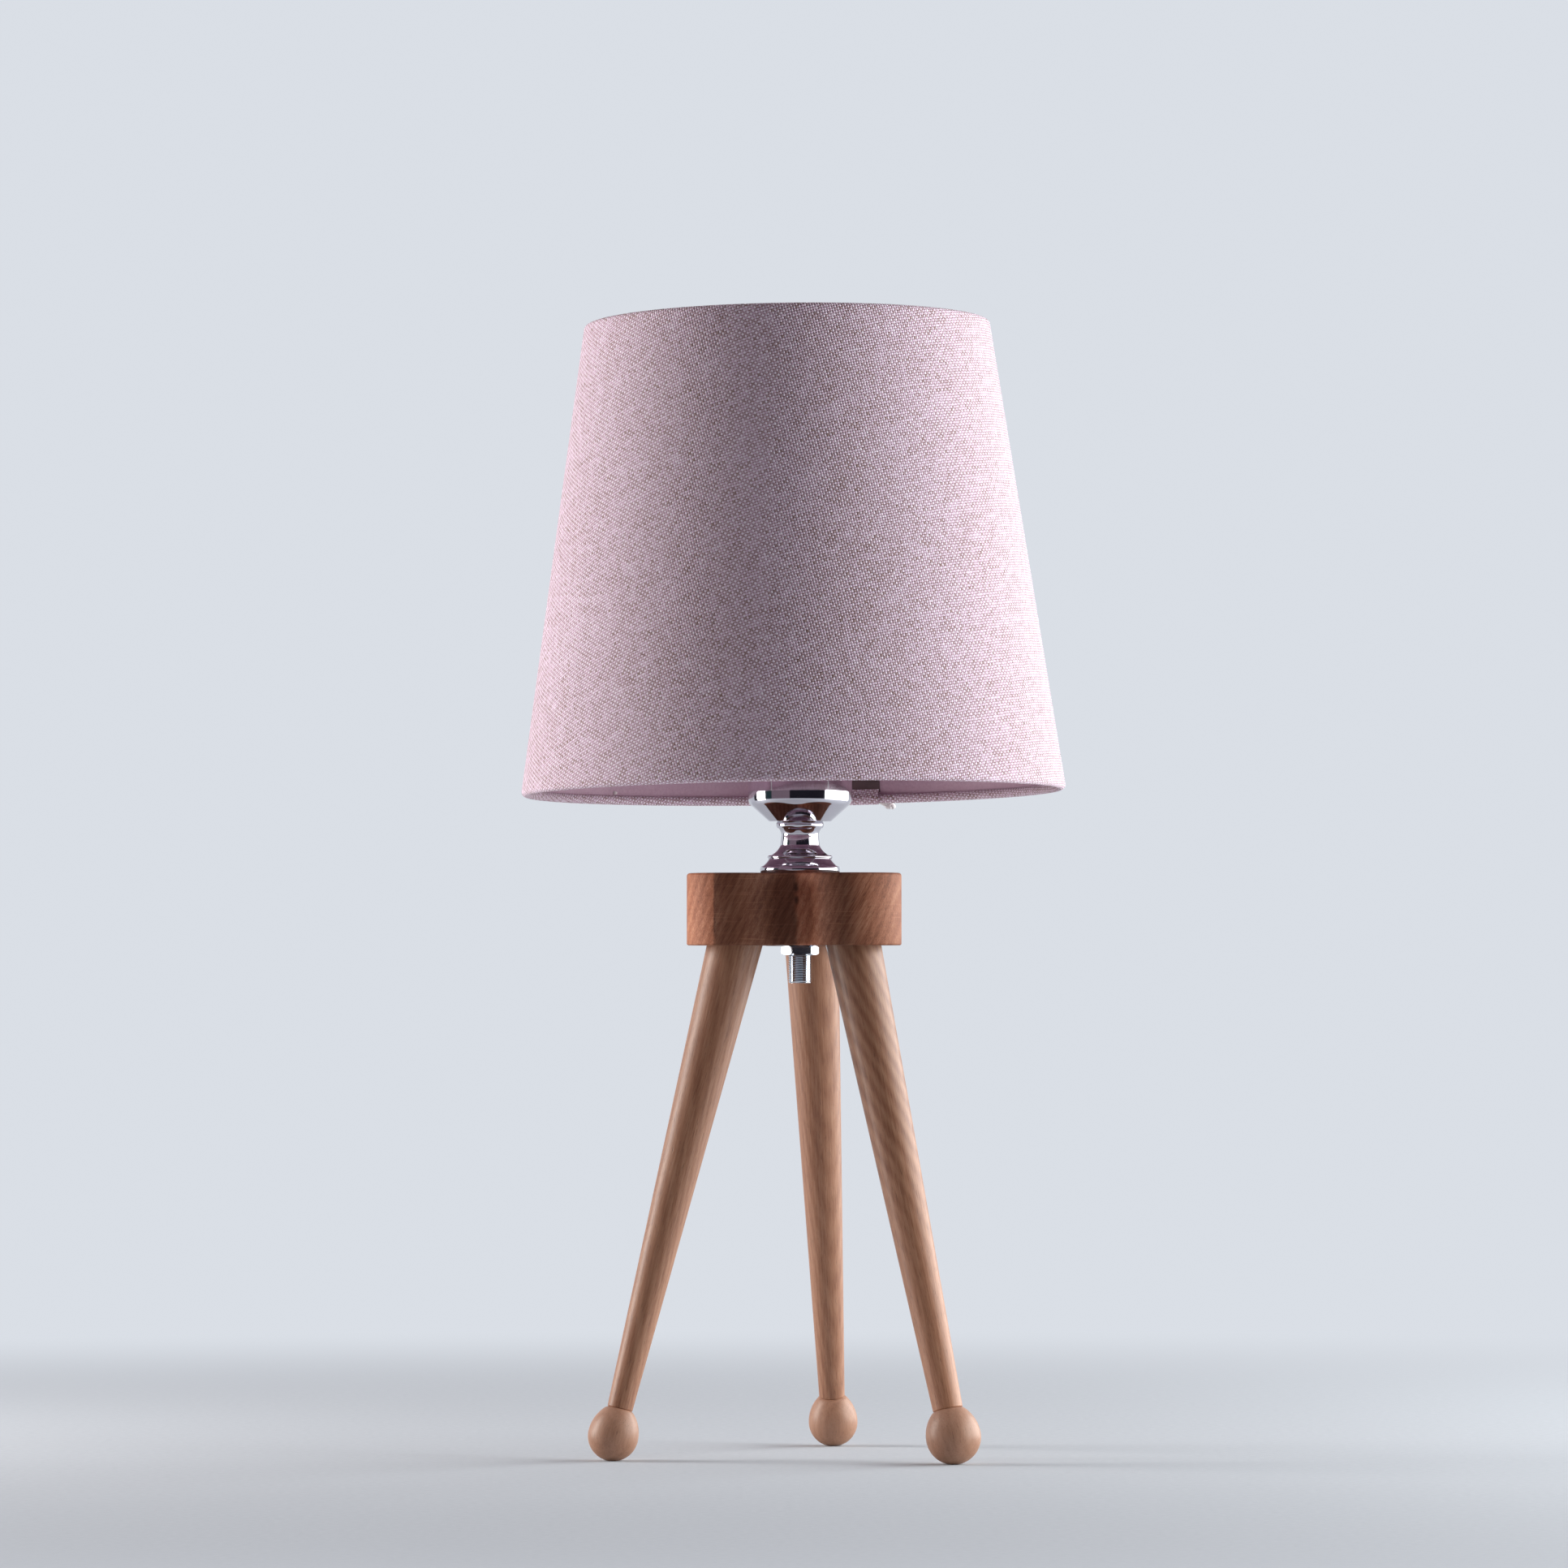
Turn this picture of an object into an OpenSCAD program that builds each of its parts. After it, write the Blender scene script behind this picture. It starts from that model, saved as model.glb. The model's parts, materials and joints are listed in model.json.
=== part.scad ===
// Tripod table lamp: three splayed turned legs on egg-shaped feet, a three-lobed wooden hub,
// a turned chrome neck and cup with an E27 lampholder, and a tapered linen shade.
// Millimetres, +Z up. The origin is on the floor, under the threaded stem.

/* [Hub] */
// Height of the hub's underside above the floor
hub_z = 220; // [190:1:250]
// Thickness of the hub
hub_h = 31; // [26:0.5:40]
// Distance of the three lobe centres from the stem, where the legs enter too
lobe_pitch_r = 30; // [28:0.5:36]
// Radius of each lobe
lobe_r = 20.5; // [17:0.5:23]
// Radius of the hollow between two lobes
valley_r = 12; // [9:0.5:16]
// Direction in which the back leg points
back_leg_turn = 80; // [60:1:100]

/* [Legs] */
// Angle of each leg from the vertical
leg_splay = 14.7; // [8:0.1:18]
// Diameter of a leg at the hub
leg_top_d = 23.4; // [20:0.2:28]
// Diameter of the right leg where it meets its foot
right_ankle_d = 12.8; // [9:0.1:16]
// Diameter of the left leg where it meets its foot
left_ankle_d = 10.9; // [9:0.1:16]
// Diameter of the back leg where it meets its foot
back_ankle_d = 11.2; // [9:0.1:16]
// Diameter of the tenon at the top of each leg
tenon_d = 14; // [10:0.5:16]
// Length of the tenon along the leg
tenon_l = 22; // [14:0.5:23]

/* [Feet] */
// Diameter of the right foot
right_foot_d = 23.4; // [18:0.2:28]
// Diameter of the left foot
left_foot_d = 21.6; // [18:0.2:28]
// Diameter of the back foot
back_foot_d = 21.5; // [18:0.2:28]
// Distance from a foot's centre up to its joint with the leg
foot_rise = 11.9; // [10:0.1:14]
// Depth of the small flat that each foot stands on
foot_flat = 0.2; // [0.1:0.05:0.6]
// Diameter of the dowel between a leg and its foot
dowel_d = 5; // [4:0.5:6]
// Length of that dowel
dowel_l = 16; // [10:1:20]

/* [Stem and nuts] */
// Outside diameter of the threaded stem
stem_d = 10; // [9:0.5:12]
// Diameter of the passage through the stem
stem_bore_d = 8; // [5:0.5:8]
// Length of stem that shows below the bottom nut
stem_tail = 12; // [4:0.5:20]
// Turn of the bottom nut about the stem
nut_turn = 5.8; // [0:0.1:60]
// Width of a nut across its flats
nut_af = 14; // [13.5:0.5:18]
// Height of the bottom nut
nut_h = 4.2; // [3:0.1:6]
// Height of the lock nut inside the cup
lock_nut_h = 3; // [2:0.1:4]
// Diameter of the washer let into the hub
washer_d = 22; // [18:0.5:26]
// Thickness of that washer
washer_t = 1.2; // [0.8:0.1:2]
// Diameter of the lock washer inside the cup
lock_washer_d = 18; // [16:0.5:22]
// Thickness of the lock washer
lock_washer_t = 0.8; // [0.5:0.1:1.2]

/* [Chrome neck] */
// Diameter of the band at the neck's base
neck_base_d = 34.6; // [31:0.2:40]
// Height of that band
neck_base_h = 3.2; // [2:0.1:5]
// Height of the flare above the band
foot_flare_h = 3.2; // [2:0.1:5]
// Diameter of the bead on the flare
step_bead_d = 28.2; // [24:0.2:30]
// Height of that bead
step_bead_h = 1.4; // [1:0.1:2.5]
// Height of the hollow flare below the waist
cove_h = 4.5; // [3:0.1:7]
// Diameter of the waist
waist_d = 17; // [15.4:0.2:20]
// Height of the waist
waist_h = 4.4; // [3:0.1:8]
// Amount by which the waist's radius shrinks towards its top
waist_taper = 0.3; // [0:0.05:0.6]
// Height of the flare above the waist
throat_h = 2.9; // [2:0.1:5]
// Diameter of the bead under the cup
top_bead_d = 20.6; // [20:0.2:25]
// Height of that bead
top_bead_h = 2.9; // [2:0.1:4]

/* [Chrome cup] */
// Outside diameter of the cup
cup_d = 44.9; // [44:0.1:50]
// Diameter of the cup's flat bottom
cup_bottom_d = 26.8; // [24:0.2:30]
// Slope of the cup's cone above the level
cup_slope = 41; // [30:1:50]
// Radius of the turn from cone to side
cup_turn_r = 4; // [2:0.5:6]
// Thickness of the cup's metal
cup_wall = 0.9; // [0.6:0.1:1.2]

/* [Lampholder] */
// Clear height from the lock nut up to the holder's entry
holder_standoff = 3.7; // [2:0.1:8]
// Diameter of the holder's screwed entry
entry_d = 16; // [15:0.5:20]
// Height of the entry below the holder's floor
entry_h = 6; // [6:0.5:10]
// Diameter of the grub screw that locks the holder
grub_d = 3; // [2:0.5:4]
// Diameter of the holder's lower shell
base_d = 38.5; // [36:0.5:39]
// Height of the lower shell
base_h = 20; // [18:0.5:26]
// Wall of the lower shell
base_wall = 2; // [1.5:0.1:2.5]
// Diameter of the sleeve that the collar screws on
sleeve_d = 39.6; // [38:0.1:40.5]
// Length of the sleeve below its flange
sleeve_low_h = 25.6; // [22:0.2:32]
// Length of the sleeve above its flange
sleeve_top_h = 16.3; // [14:0.1:22]
// Thickness of the sleeve's flange
flange_t = 2; // [1.5:0.1:3]
// Depth of the socket from its mouth to the centre contact
socket_depth = 25.8; // [24:0.1:27]
// Inside diameter of the screw shell
socket_d = 27; // [26.8:0.1:28]
// Thickness of the screw shell's brass
shell_wall = 0.5; // [0.3:0.1:0.6]
// Height that the centre contact springs up from the core
contact_rise = 2; // [1.5:0.1:3]
// Depth of the core's flange inside the lower shell
core_foot_h = 8; // [5:0.5:10]
// Edge of each square brass terminal
terminal_a = 6; // [5:0.5:7]
// Diameter of a terminal screw
terminal_screw_d = 3; // [2:0.5:3]
// Diameter of a terminal screw's head
terminal_head_d = 5.2; // [4.5:0.1:6]
// Height of a terminal screw's head
terminal_head_h = 1.2; // [1:0.1:1.6]
// Diameter of the hole through a terminal for the wire
wire_hole_d = 2.4; // [1.5:0.1:2.6]
// Width of a screw's slot
slot_w = 0.6; // [0.4:0.1:0.8]
// Depth of a screw's slot
slot_depth = 0.7; // [0.4:0.1:0.8]
// Width of the centre contact's leaf and button
leaf_w = 6; // [5:0.5:8]
// Length of the leaf from the centre to its foot
leaf_l = 11; // [8:0.5:12]
// Thickness of the leaf
leaf_t = 0.6; // [0.3:0.1:0.8]
// Distance of the screw shell below the socket's mouth
shell_inset = 1.5; // [1:0.1:3]

/* [Collar and fitter] */
// Outside diameter of the collar's flange
collar_d = 55; // [52:0.5:60]
// Height of the collar
collar_h = 9; // [7:0.5:11]
// Thickness of the collar's flange
collar_flange_t = 2.6; // [2:0.1:3.5]
// Diameter of the collar's grip above its flange
collar_grip_d = 48; // [46:0.5:50]
// Number of hollows round the grip
collar_hollows = 24; // [12:1:30]
// Diameter of each hollow
hollow_d = 2.6; // [1.6:0.1:3]
// Width of the fitter ring outside the sleeve's flange
fitter_rim = 3.6; // [3:0.1:6]
// Thickness of the fitter ring
fitter_t = 1.6; // [1:0.1:2.5]
// Diameter of the wire of the three arms
arm_d = 3; // [2.4:0.1:4]
// Direction of the first arm
arm_turn = 90; // [60:1:120]
// Length that an arm runs level before it slopes down
arm_level = 9; // [6:0.5:16]

/* [Shade] */
// Diameter of the shade's bottom edge
shade_bottom_d = 235; // [200:1:280]
// Diameter of the shade's top edge
shade_top_d = 175; // [150:1:190]
// Height of the shade along its own axis
shade_h = 203.3; // [180:0.1:230]
// Drop from the fitter down to the shade's bottom edge
fitter_drop = 50; // [40:0.5:60]
// Lean of the shade to the left
lean_side = 0.8; // [0:0.1:1.5]
// Lean of the shade to the back
lean_back = 1.2; // [0:0.1:1.5]
// Offset of the bottom edge to the left
shift_left = 2.8; // [0:0.1:2.9]
// Offset of the bottom edge to the front
shift_front = 1; // [0:0.1:2]
// Thickness of the linen cover
cover_t = 0.8; // [0.6:0.1:1.2]
// Thickness of the lining
lining_t = 0.4; // [0.3:0.1:0.8]
// Diameter of the rolled hems
hem_d = 4; // [3.6:0.1:6]
// Diameter of the wire inside each hem
wire_d = 2.6; // [2:0.1:3]
// Direction of the lapped seam
seam_turn = 76; // [60:1:120]
// Width of the lapped seam at the back
seam_w = 12; // [8:0.5:20]
// Thickness of that lap
seam_t = 0.6; // [0.4:0.1:1]

/* [Bulb] */
// Largest diameter of the candle globe
globe_d = 37; // [35:0.2:37.4]
// Height of the globe above its housing
globe_h = 52; // [44:0.5:60]
// Height of the globe's widest line above its foot
globe_wide_h = 12.5; // [10:0.5:16]
// Height of the globe's rounded tip
globe_tip_h = 7.4; // [6:0.2:9]
// Diameter of the globe where its tip begins
globe_tip_d = 10; // [8:0.5:12]
// Wall of the globe
globe_wall = 1; // [0.8:0.1:1.6]
// Height of the bulb's housing
housing_h = 20; // [14:0.5:26]
// Diameter of the housing's top
housing_d = 34.6; // [33:0.2:35]
// Wall of the housing
housing_wall = 1.5; // [1:0.1:2]
// Outside diameter of the screw cap
cap_d = 26.2; // [25.8:0.1:26.4]
// Height of the screw cap
cap_h = 21.5; // [20:0.1:23]
// Wall of the screw cap
cap_wall = 0.4; // [0.3:0.1:0.6]
// Height of the cap's glass insulator
insulator_h = 3.2; // [2.5:0.1:4]
// Depth that the housing's spigot reaches into the cap
spigot_h = 6; // [4:0.5:8]
// Diameter of the bulb's centre contact
button_d = 9.6; // [8:0.1:10]
// Height of the bulb's centre contact
button_h = 1.2; // [0.8:0.1:2]
// Thickness of the board with the light chips
board_t = 1.2; // [1:0.1:1.6]
// Number of light chips on the board
chips = 8; // [4:1:10]
// Length of a light chip
chip_l = 3.5; // [2:0.1:4]
// Width of a light chip
chip_w = 2.8; // [2:0.1:3]
// Height of a light chip
chip_h = 0.8; // [0.5:0.1:1]
// Width of the upright driver board
driver_w = 18; // [14:0.5:19]
// Thickness of the driver board
driver_t = 1.2; // [0.8:0.1:1.6]
// Diameter of the driver's capacitor
capacitor_d = 8; // [6:0.5:9]
// Height of the capacitor
capacitor_h = 12; // [8:0.5:13]
// Diameter of the driver's coil
coil_d = 6; // [5:0.5:8]
// Height of the coil
coil_h = 7; // [5:0.5:8]

/* [Clearances] */
// Radial gap round a screwed or glued joint
joint_gap = 0.1; // [0.05:0.01:0.15]
// Radial gap between the collar and the sleeve
collar_gap = 0.3; // [0.2:0.05:0.5]
// Radial gap between the fitter ring and the sleeve
fitter_gap = 0.5; // [0.4:0.05:1]
// Gap between the bulb's contact and the holder's contact
contact_gap = 0.2; // [0.1:0.05:0.4]

/* [Hidden] */
$fn = 72;
eps = 0.01;
far = 400;
// Draw-in of the turned beads' edges, and the step from one moulding to the next
bead_edge = 0.5;
bead_step = 0.4;
// Depths of the neck's hollow curves
flare_bow = 0.35;
cove_bow = 0.75;
waist_bow = 0.05;
throat_bow = 0.25;
// Space between a rolled hem and the sheets above or below it
hem_space = 0.4;
// How much larger a ball is than the rod that it ends
ball_extra = 0.1;
// Centre of a hollow outside the collar's grip
hollow_out = 0.4;
// Bulges of the globe's foot, side and tip
globe_foot_bow = 0.35;
globe_side_bow = 4.2;
globe_tip_bow = 1.4;
// Brass above the wire's hole in a terminal
wire_hole_roof = 0.6;
// Size that the bulb's parts step in or out by where they meet
bulb_step = 0.4;

// Heights of the stack, from the hub up
hub_top = hub_z + hub_h;
neck_h = neck_base_h + foot_flare_h + step_bead_h + cove_h + waist_h + throat_h + top_bead_h;
cup_z = hub_top + neck_h;
cup_floor = cup_z + cup_wall;
lock_nut_z = cup_floor + lock_washer_t;
entry_z = lock_nut_z + lock_nut_h + holder_standoff;
base_z = entry_z + entry_h;
sleeve_z = base_z + base_h;
cup_top = sleeve_z + sleeve_low_h;
fitter_z = cup_top + flange_t;
fitter_d = cup_d + 2 * fitter_rim;
collar_z = fitter_z + fitter_t;
mouth_z = fitter_z + sleeve_top_h;
socket_floor = mouth_z - socket_depth;
core_top = socket_floor - contact_rise;
stem_bottom = hub_z - nut_h - stem_tail;
stem_top = base_z + base_wall;

// Directions and sizes of the legs: right, left, back
leg_turns = [back_leg_turn - 120, back_leg_turn + 120, back_leg_turn];
ankle_ds = [right_ankle_d, left_ankle_d, back_ankle_d];
foot_ds = [right_foot_d, left_foot_d, back_foot_d];

// Distance of each terminal from the lampholder's axis
core_foot_d = base_d - 2 * base_wall - 2 * joint_gap;
terminal_reach = core_foot_d / 3;
terminal_z = sleeve_z - core_foot_h - terminal_a;
wire_hole_z = terminal_a - wire_hole_roof - wire_hole_d / 2;

// Point list along a shallow arc from p to q, which bows to the left of the way by s
function bow(p, q, s, n = 6) =
    let (
        d = q - p,
        l = norm(d),
        half = 2 * atan(2 * s / l),
        r = l / (2 * sin(half)),
        a = atan2(d[1], d[0])
    )
    [for (i = [0:n])
        let (
            f = 2 * half * i / n,
            u = r * (sin(f) * cos(half) + (1 - cos(f)) * sin(half)),
            v = r * (sin(f) * sin(half) - (1 - cos(f)) * cos(half))
        )
        p + [u * cos(a) - v * sin(a), u * sin(a) + v * cos(a)]];

// Turns and moves a point as shade_pose() does
function posed(p) =
    let (
        y1 = p[1] * cos(lean_back) + p[2] * sin(lean_back),
        z1 = p[2] * cos(lean_back) - p[1] * sin(lean_back),
        x2 = p[0] * cos(lean_side) - z1 * sin(lean_side),
        z2 = p[0] * sin(lean_side) + z1 * cos(lean_side)
    )
    [x2 - shift_left, y1 - shift_front, z2 + fitter_z - fitter_drop];

// Puts the shade's own frame, whose z = 0 is the bottom edge, in its place
module shade_pose() {
    translate([-shift_left, -shift_front, fitter_z - fitter_drop])
        rotate([-lean_back, -lean_side, 0])
            children();
}

// A tube or ring from z = 0 up
module ring(outer_d, inner_d, h) {
    difference() {
        cylinder(d = outer_d, h = h);
        translate([0, 0, -eps])
            cylinder(d = inner_d, h = h + 2 * eps);
    }
}

// A hexagon nut from z = 0 up
module hex_nut(h) {
    difference() {
        cylinder(d = nut_af / cos(30), h = h, $fn = 6);
        translate([0, 0, -eps])
            cylinder(d = stem_d + 2 * joint_gap, h = h + 2 * eps);
    }
}

// A round rod between two points, with a slightly larger ball at its second end
module rod(p, q, d) {
    v = q - p;
    translate(p)
        rotate([0, acos(v[2] / norm(v)), atan2(v[1], v[0])])
            cylinder(d = d, h = norm(v));
    translate(q)
        sphere(d = d + ball_extra);
}

// ---- Legs and feet ----
// A leg's frame has its origin on the leg's axis at the hub's underside, and +Z up the leg
module leg_pose(i) {
    rotate([0, 0, leg_turns[i]])
        translate([lobe_pitch_r, 0, hub_z])
            rotate([0, -leg_splay, 0])
                children();
}

// Distance down a leg's axis from the hub's underside to the foot's centre
function foot_down(i) = (hub_z - foot_ds[i] / 2 + foot_flat) / cos(leg_splay);

module leg(i) {
    joint = foot_rise - foot_down(i);
    lead = leg_top_d;
    grow = (leg_top_d - ankle_ds[i]) / -joint;
    difference() {
        union() {
            difference() {
                leg_pose(i)
                    translate([0, 0, joint])
                        cylinder(d1 = ankle_ds[i], d2 = leg_top_d + grow * lead, h = lead - joint);
                translate([-far / 2, -far / 2, hub_z])
                    cube([far, far, lead * 2]);
            }
            leg_pose(i)
                translate([0, 0, -tenon_d])
                    cylinder(d = tenon_d, h = tenon_d + tenon_l);
        }
        leg_pose(i)
            translate([0, 0, joint - eps])
                cylinder(d = dowel_d + 2 * joint_gap, h = dowel_l / 2 + joint_gap + eps);
    }
}

module leg_right() {
    color("#b07a52")
        leg(0);
}

module leg_left() {
    color("#b07a52")
        leg(1);
}

module leg_back() {
    color("#b07a52")
        leg(2);
}

// Half section of a foot: a round below, and a flatter arc from the widest line up to the joint
function foot_half(r, ankle, n = 12) =
    let (
        step = r - ankle / 2,
        arc_r = (step * step + foot_rise * foot_rise) / (2 * step),
        arc_turn = asin(foot_rise / arc_r)
    )
    concat(
        [for (i = [0:n]) r * [sin(90 * i / n), -cos(90 * i / n)]],
        [for (i = [1:n])
            let (a = arc_turn * i / n)
            [r - arc_r * (1 - cos(a)), arc_r * sin(a)]],
        [[0, foot_rise]]
    );

module foot(i) {
    difference() {
        leg_pose(i)
            translate([0, 0, -foot_down(i)])
                difference() {
                    rotate_extrude()
                        polygon(foot_half(foot_ds[i] / 2, ankle_ds[i]));
                    translate([0, 0, foot_rise - dowel_l / 2 - joint_gap])
                        cylinder(d = dowel_d + 2 * joint_gap, h = dowel_l);
                }
        translate([-far / 2, -far / 2, -far])
            cube([far, far, far]);
    }
}

module foot_right() {
    color("#b98560")
        foot(0);
}

module foot_left() {
    color("#b98560")
        foot(1);
}

module foot_back() {
    color("#b98560")
        foot(2);
}

module foot_dowels() {
    color("#d9c09a")
        for (i = [0:2])
            leg_pose(i)
                translate([0, 0, foot_rise - foot_down(i) - dowel_l / 2])
                    cylinder(d = dowel_d, h = dowel_l);
}

// ---- Hub ----
// Distance of the valley arcs' centres, so that each arc runs smoothly into two lobes
function valley_pitch() =
    (lobe_pitch_r + sqrt(4 * pow(lobe_r + valley_r, 2) - 3 * lobe_pitch_r * lobe_pitch_r)) / 2;

module hub_outline() {
    for (turn = leg_turns)
        rotate(turn)
            translate([lobe_pitch_r, 0])
                circle(r = lobe_r);
    difference() {
        polygon([for (k = [0:5])
            let (r = k % 2 == 0 ? lobe_pitch_r : valley_pitch(), a = back_leg_turn + 60 * k)
            [r * cos(a), r * sin(a)]]);
        for (turn = leg_turns)
            rotate(turn + 60)
                translate([valley_pitch(), 0])
                    circle(r = valley_r);
    }
}

module hub() {
    color("#7d4f36")
        difference() {
            translate([0, 0, hub_z])
                linear_extrude(hub_h)
                    hub_outline();
            translate([0, 0, hub_z - eps])
                cylinder(d = stem_d + 4 * joint_gap, h = hub_h + 2 * eps);
            translate([0, 0, hub_z - eps])
                cylinder(d = washer_d + 2 * joint_gap, h = washer_t + eps);
            for (i = [0:2])
                leg_pose(i)
                    translate([0, 0, -tenon_d])
                        cylinder(d = tenon_d + 2 * joint_gap, h = tenon_d + tenon_l + joint_gap);
        }
}

// ---- Stem, nuts and washers ----
module stem() {
    color("#c9cbd0")
        translate([0, 0, stem_bottom])
            ring(stem_d, stem_bore_d, stem_top - stem_bottom);
}

module bottom_nut() {
    color("#c9cbd0")
        translate([0, 0, hub_z - nut_h])
            rotate([0, 0, nut_turn])
                hex_nut(nut_h);
}

module bottom_washer() {
    color("#c9cbd0")
        translate([0, 0, hub_z])
            ring(washer_d, stem_d + 2 * joint_gap, washer_t);
}

module lock_washer() {
    color("#c9cbd0")
        translate([0, 0, cup_floor])
            ring(lock_washer_d, stem_d + 2 * joint_gap, lock_washer_t);
}

module lock_nut() {
    color("#c9cbd0")
        translate([0, 0, lock_nut_z])
            hex_nut(lock_nut_h);
}

// ---- Chrome neck and cup ----
module neck() {
    base_r = neck_base_d / 2;
    bead_r = step_bead_d / 2;
    waist_r = waist_d / 2;
    top_r = top_bead_d / 2;
    z1 = neck_base_h;
    z2 = z1 + foot_flare_h;
    z3 = z2 + step_bead_h;
    z4 = z3 + cove_h;
    z5 = z4 + waist_h;
    z6 = z5 + throat_h;
    hole_r = stem_d / 2 + 2 * joint_gap;
    outline = concat(
        [[hole_r, 0]],
        bow([base_r - bead_edge, 0], [base_r - bead_edge, z1], -bead_edge),
        bow([base_r - bead_edge - bead_step, z1 + eps], [bead_r - bead_edge, z2], flare_bow),
        bow([bead_r - bead_edge, z2 + eps], [bead_r - bead_edge, z3], -bead_edge),
        bow([bead_r - bead_edge - bead_step, z3 + eps], [waist_r + eps, z4], cove_bow),
        bow([waist_r, z4 + eps], [waist_r - waist_taper, z5], waist_bow),
        bow([waist_r - waist_taper + eps, z5 + eps], [top_r - bead_edge - bead_step, z6], throat_bow),
        bow([top_r - bead_edge, z6 + eps], [top_r - bead_edge, neck_h], -bead_edge),
        [[hole_r, neck_h]]
    );
    color("#d5d2d8")
        translate([0, 0, hub_top])
            rotate_extrude()
                polygon(outline);
}

// Outline of the cup's inside or outside, set inward by o from the outside
function cup_line(o) =
    let (
        turn_r = cup_turn_r - o,
        turn_z = (cup_turn_r + (cup_d / 2 - cup_turn_r - cup_bottom_d / 2) * sin(cup_slope))
            / cos(cup_slope),
        turn_x = cup_d / 2 - cup_turn_r
    )
    concat(
        [[cup_bottom_d / 2 - o * tan(cup_slope / 2), o]],
        [for (i = [0:6])
            let (a = (cup_slope - 90) * (1 - i / 6))
            [turn_x + turn_r * cos(a), turn_z + turn_r * sin(a)]],
        [[cup_d / 2 - o, cup_top - cup_z]]
    );

module cup() {
    hole_r = stem_d / 2 + 2 * joint_gap;
    inside = cup_line(cup_wall);
    color("#d5d2d8")
        translate([0, 0, cup_z])
            rotate_extrude()
                polygon(concat(
                    [[hole_r, 0]],
                    cup_line(0),
                    [for (i = [len(inside) - 1:-1:0]) inside[i]],
                    [[hole_r, cup_wall]]
                ));
}

// ---- Lampholder ----
module holder_base() {
    color("#efece4")
        difference() {
            union() {
                translate([0, 0, entry_z])
                    cylinder(d = entry_d, h = entry_h + eps);
                translate([0, 0, base_z])
                    cylinder(d = base_d, h = base_h);
            }
            translate([0, 0, base_z + base_wall])
                cylinder(d = base_d - 2 * base_wall, h = base_h);
            translate([0, 0, entry_z - eps])
                cylinder(d = stem_d + 2 * joint_gap, h = entry_h + base_wall + 2 * eps);
            translate([0, 0, entry_z + entry_h / 2])
                rotate([0, 90, 0])
                    cylinder(d = grub_d + 2 * joint_gap, h = entry_d);
        }
}

module grub_screw() {
    color("#9a9ca0")
        translate([stem_d / 2 + joint_gap, 0, entry_z + entry_h / 2])
            rotate([0, 90, 0])
                difference() {
                    cylinder(d = grub_d, h = (entry_d - stem_d) / 2);
                    translate([-grub_d, -slot_w / 2, (entry_d - stem_d) / 2 - slot_depth])
                        cube([2 * grub_d, slot_w, entry_d]);
                }
}

module holder_core() {
    body_d = socket_d + 2 * shell_wall;
    color("#f4f1ea")
        difference() {
            union() {
                translate([0, 0, sleeve_z - core_foot_h])
                    cylinder(d = core_foot_d, h = core_foot_h);
                translate([0, 0, sleeve_z - eps])
                    cylinder(d = body_d, h = core_top - sleeve_z + eps);
            }
            for (side = [-1, 1])
                translate([side * terminal_reach, 0, sleeve_z - core_foot_h / 2])
                    cylinder(d = wire_hole_d, h = core_foot_h);
        }
}

module holder_terminals() {
    color("#c8a24a")
        for (side = [-1, 1])
            translate([side * terminal_reach, 0, terminal_z])
                difference() {
                    translate([-terminal_a / 2, -terminal_a / 2, 0])
                        cube(terminal_a);
                    translate([0, 0, -eps])
                        cylinder(d = terminal_screw_d + 2 * joint_gap, h = terminal_a / 2);
                    translate([0, terminal_a, wire_hole_z])
                        rotate([90, 0, 0])
                            cylinder(d = wire_hole_d, h = 2 * terminal_a);
                }
}

module terminal_screws() {
    color("#b8bac0")
        for (side = [-1, 1])
            translate([side * terminal_reach, 0, terminal_z])
                difference() {
                    union() {
                        cylinder(d = terminal_screw_d, h = terminal_a / 2 - joint_gap);
                        translate([0, 0, -terminal_head_h])
                            cylinder(d = terminal_head_d, h = terminal_head_h);
                    }
                    translate([-terminal_a, -slot_w / 2, slot_depth - terminal_head_h - terminal_a])
                        cube([2 * terminal_a, slot_w, terminal_a]);
                }
}

// A leaf on the core with a raised button for the bulb
module centre_contact() {
    color("#c8a24a") {
        translate([-leaf_w / 2, -leaf_l, core_top])
            cube([leaf_w, leaf_l + leaf_w / 2, leaf_t]);
        translate([0, 0, core_top])
            cylinder(d = leaf_w, h = contact_rise - contact_gap);
    }
}

module screw_shell() {
    color("#c8a24a")
        translate([0, 0, core_top])
            ring(socket_d + 2 * shell_wall, socket_d, mouth_z - core_top - shell_inset);
}

module holder_sleeve() {
    bore = socket_d + 2 * shell_wall + 2 * joint_gap;
    color("#efece4")
        difference() {
            union() {
                translate([0, 0, sleeve_z])
                    cylinder(d = sleeve_d, h = mouth_z - sleeve_z);
                translate([0, 0, cup_top])
                    cylinder(d = cup_d, h = flange_t);
            }
            translate([0, 0, sleeve_z - eps])
                cylinder(d = bore, h = mouth_z - sleeve_z + 2 * eps);
        }
}

// ---- Collar and shade fitter ----
module collar() {
    color("#efece4")
        translate([0, 0, collar_z])
            difference() {
                union() {
                    cylinder(d = collar_d, h = collar_flange_t);
                    linear_extrude(collar_h)
                        difference() {
                            circle(d = collar_grip_d);
                            for (k = [0:collar_hollows - 1])
                                rotate(360 * (k + 0.5) / collar_hollows)
                                    translate([collar_grip_d / 2 + hollow_out, 0])
                                        circle(d = hollow_d);
                        }
                }
                translate([0, 0, -eps])
                    cylinder(d = sleeve_d + 2 * collar_gap, h = collar_h + 2 * eps);
            }
}

module fitter_ring() {
    color("#f0eeea")
        translate([0, 0, fitter_z])
            ring(fitter_d, sleeve_d + 2 * fitter_gap, fitter_t);
}

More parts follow.
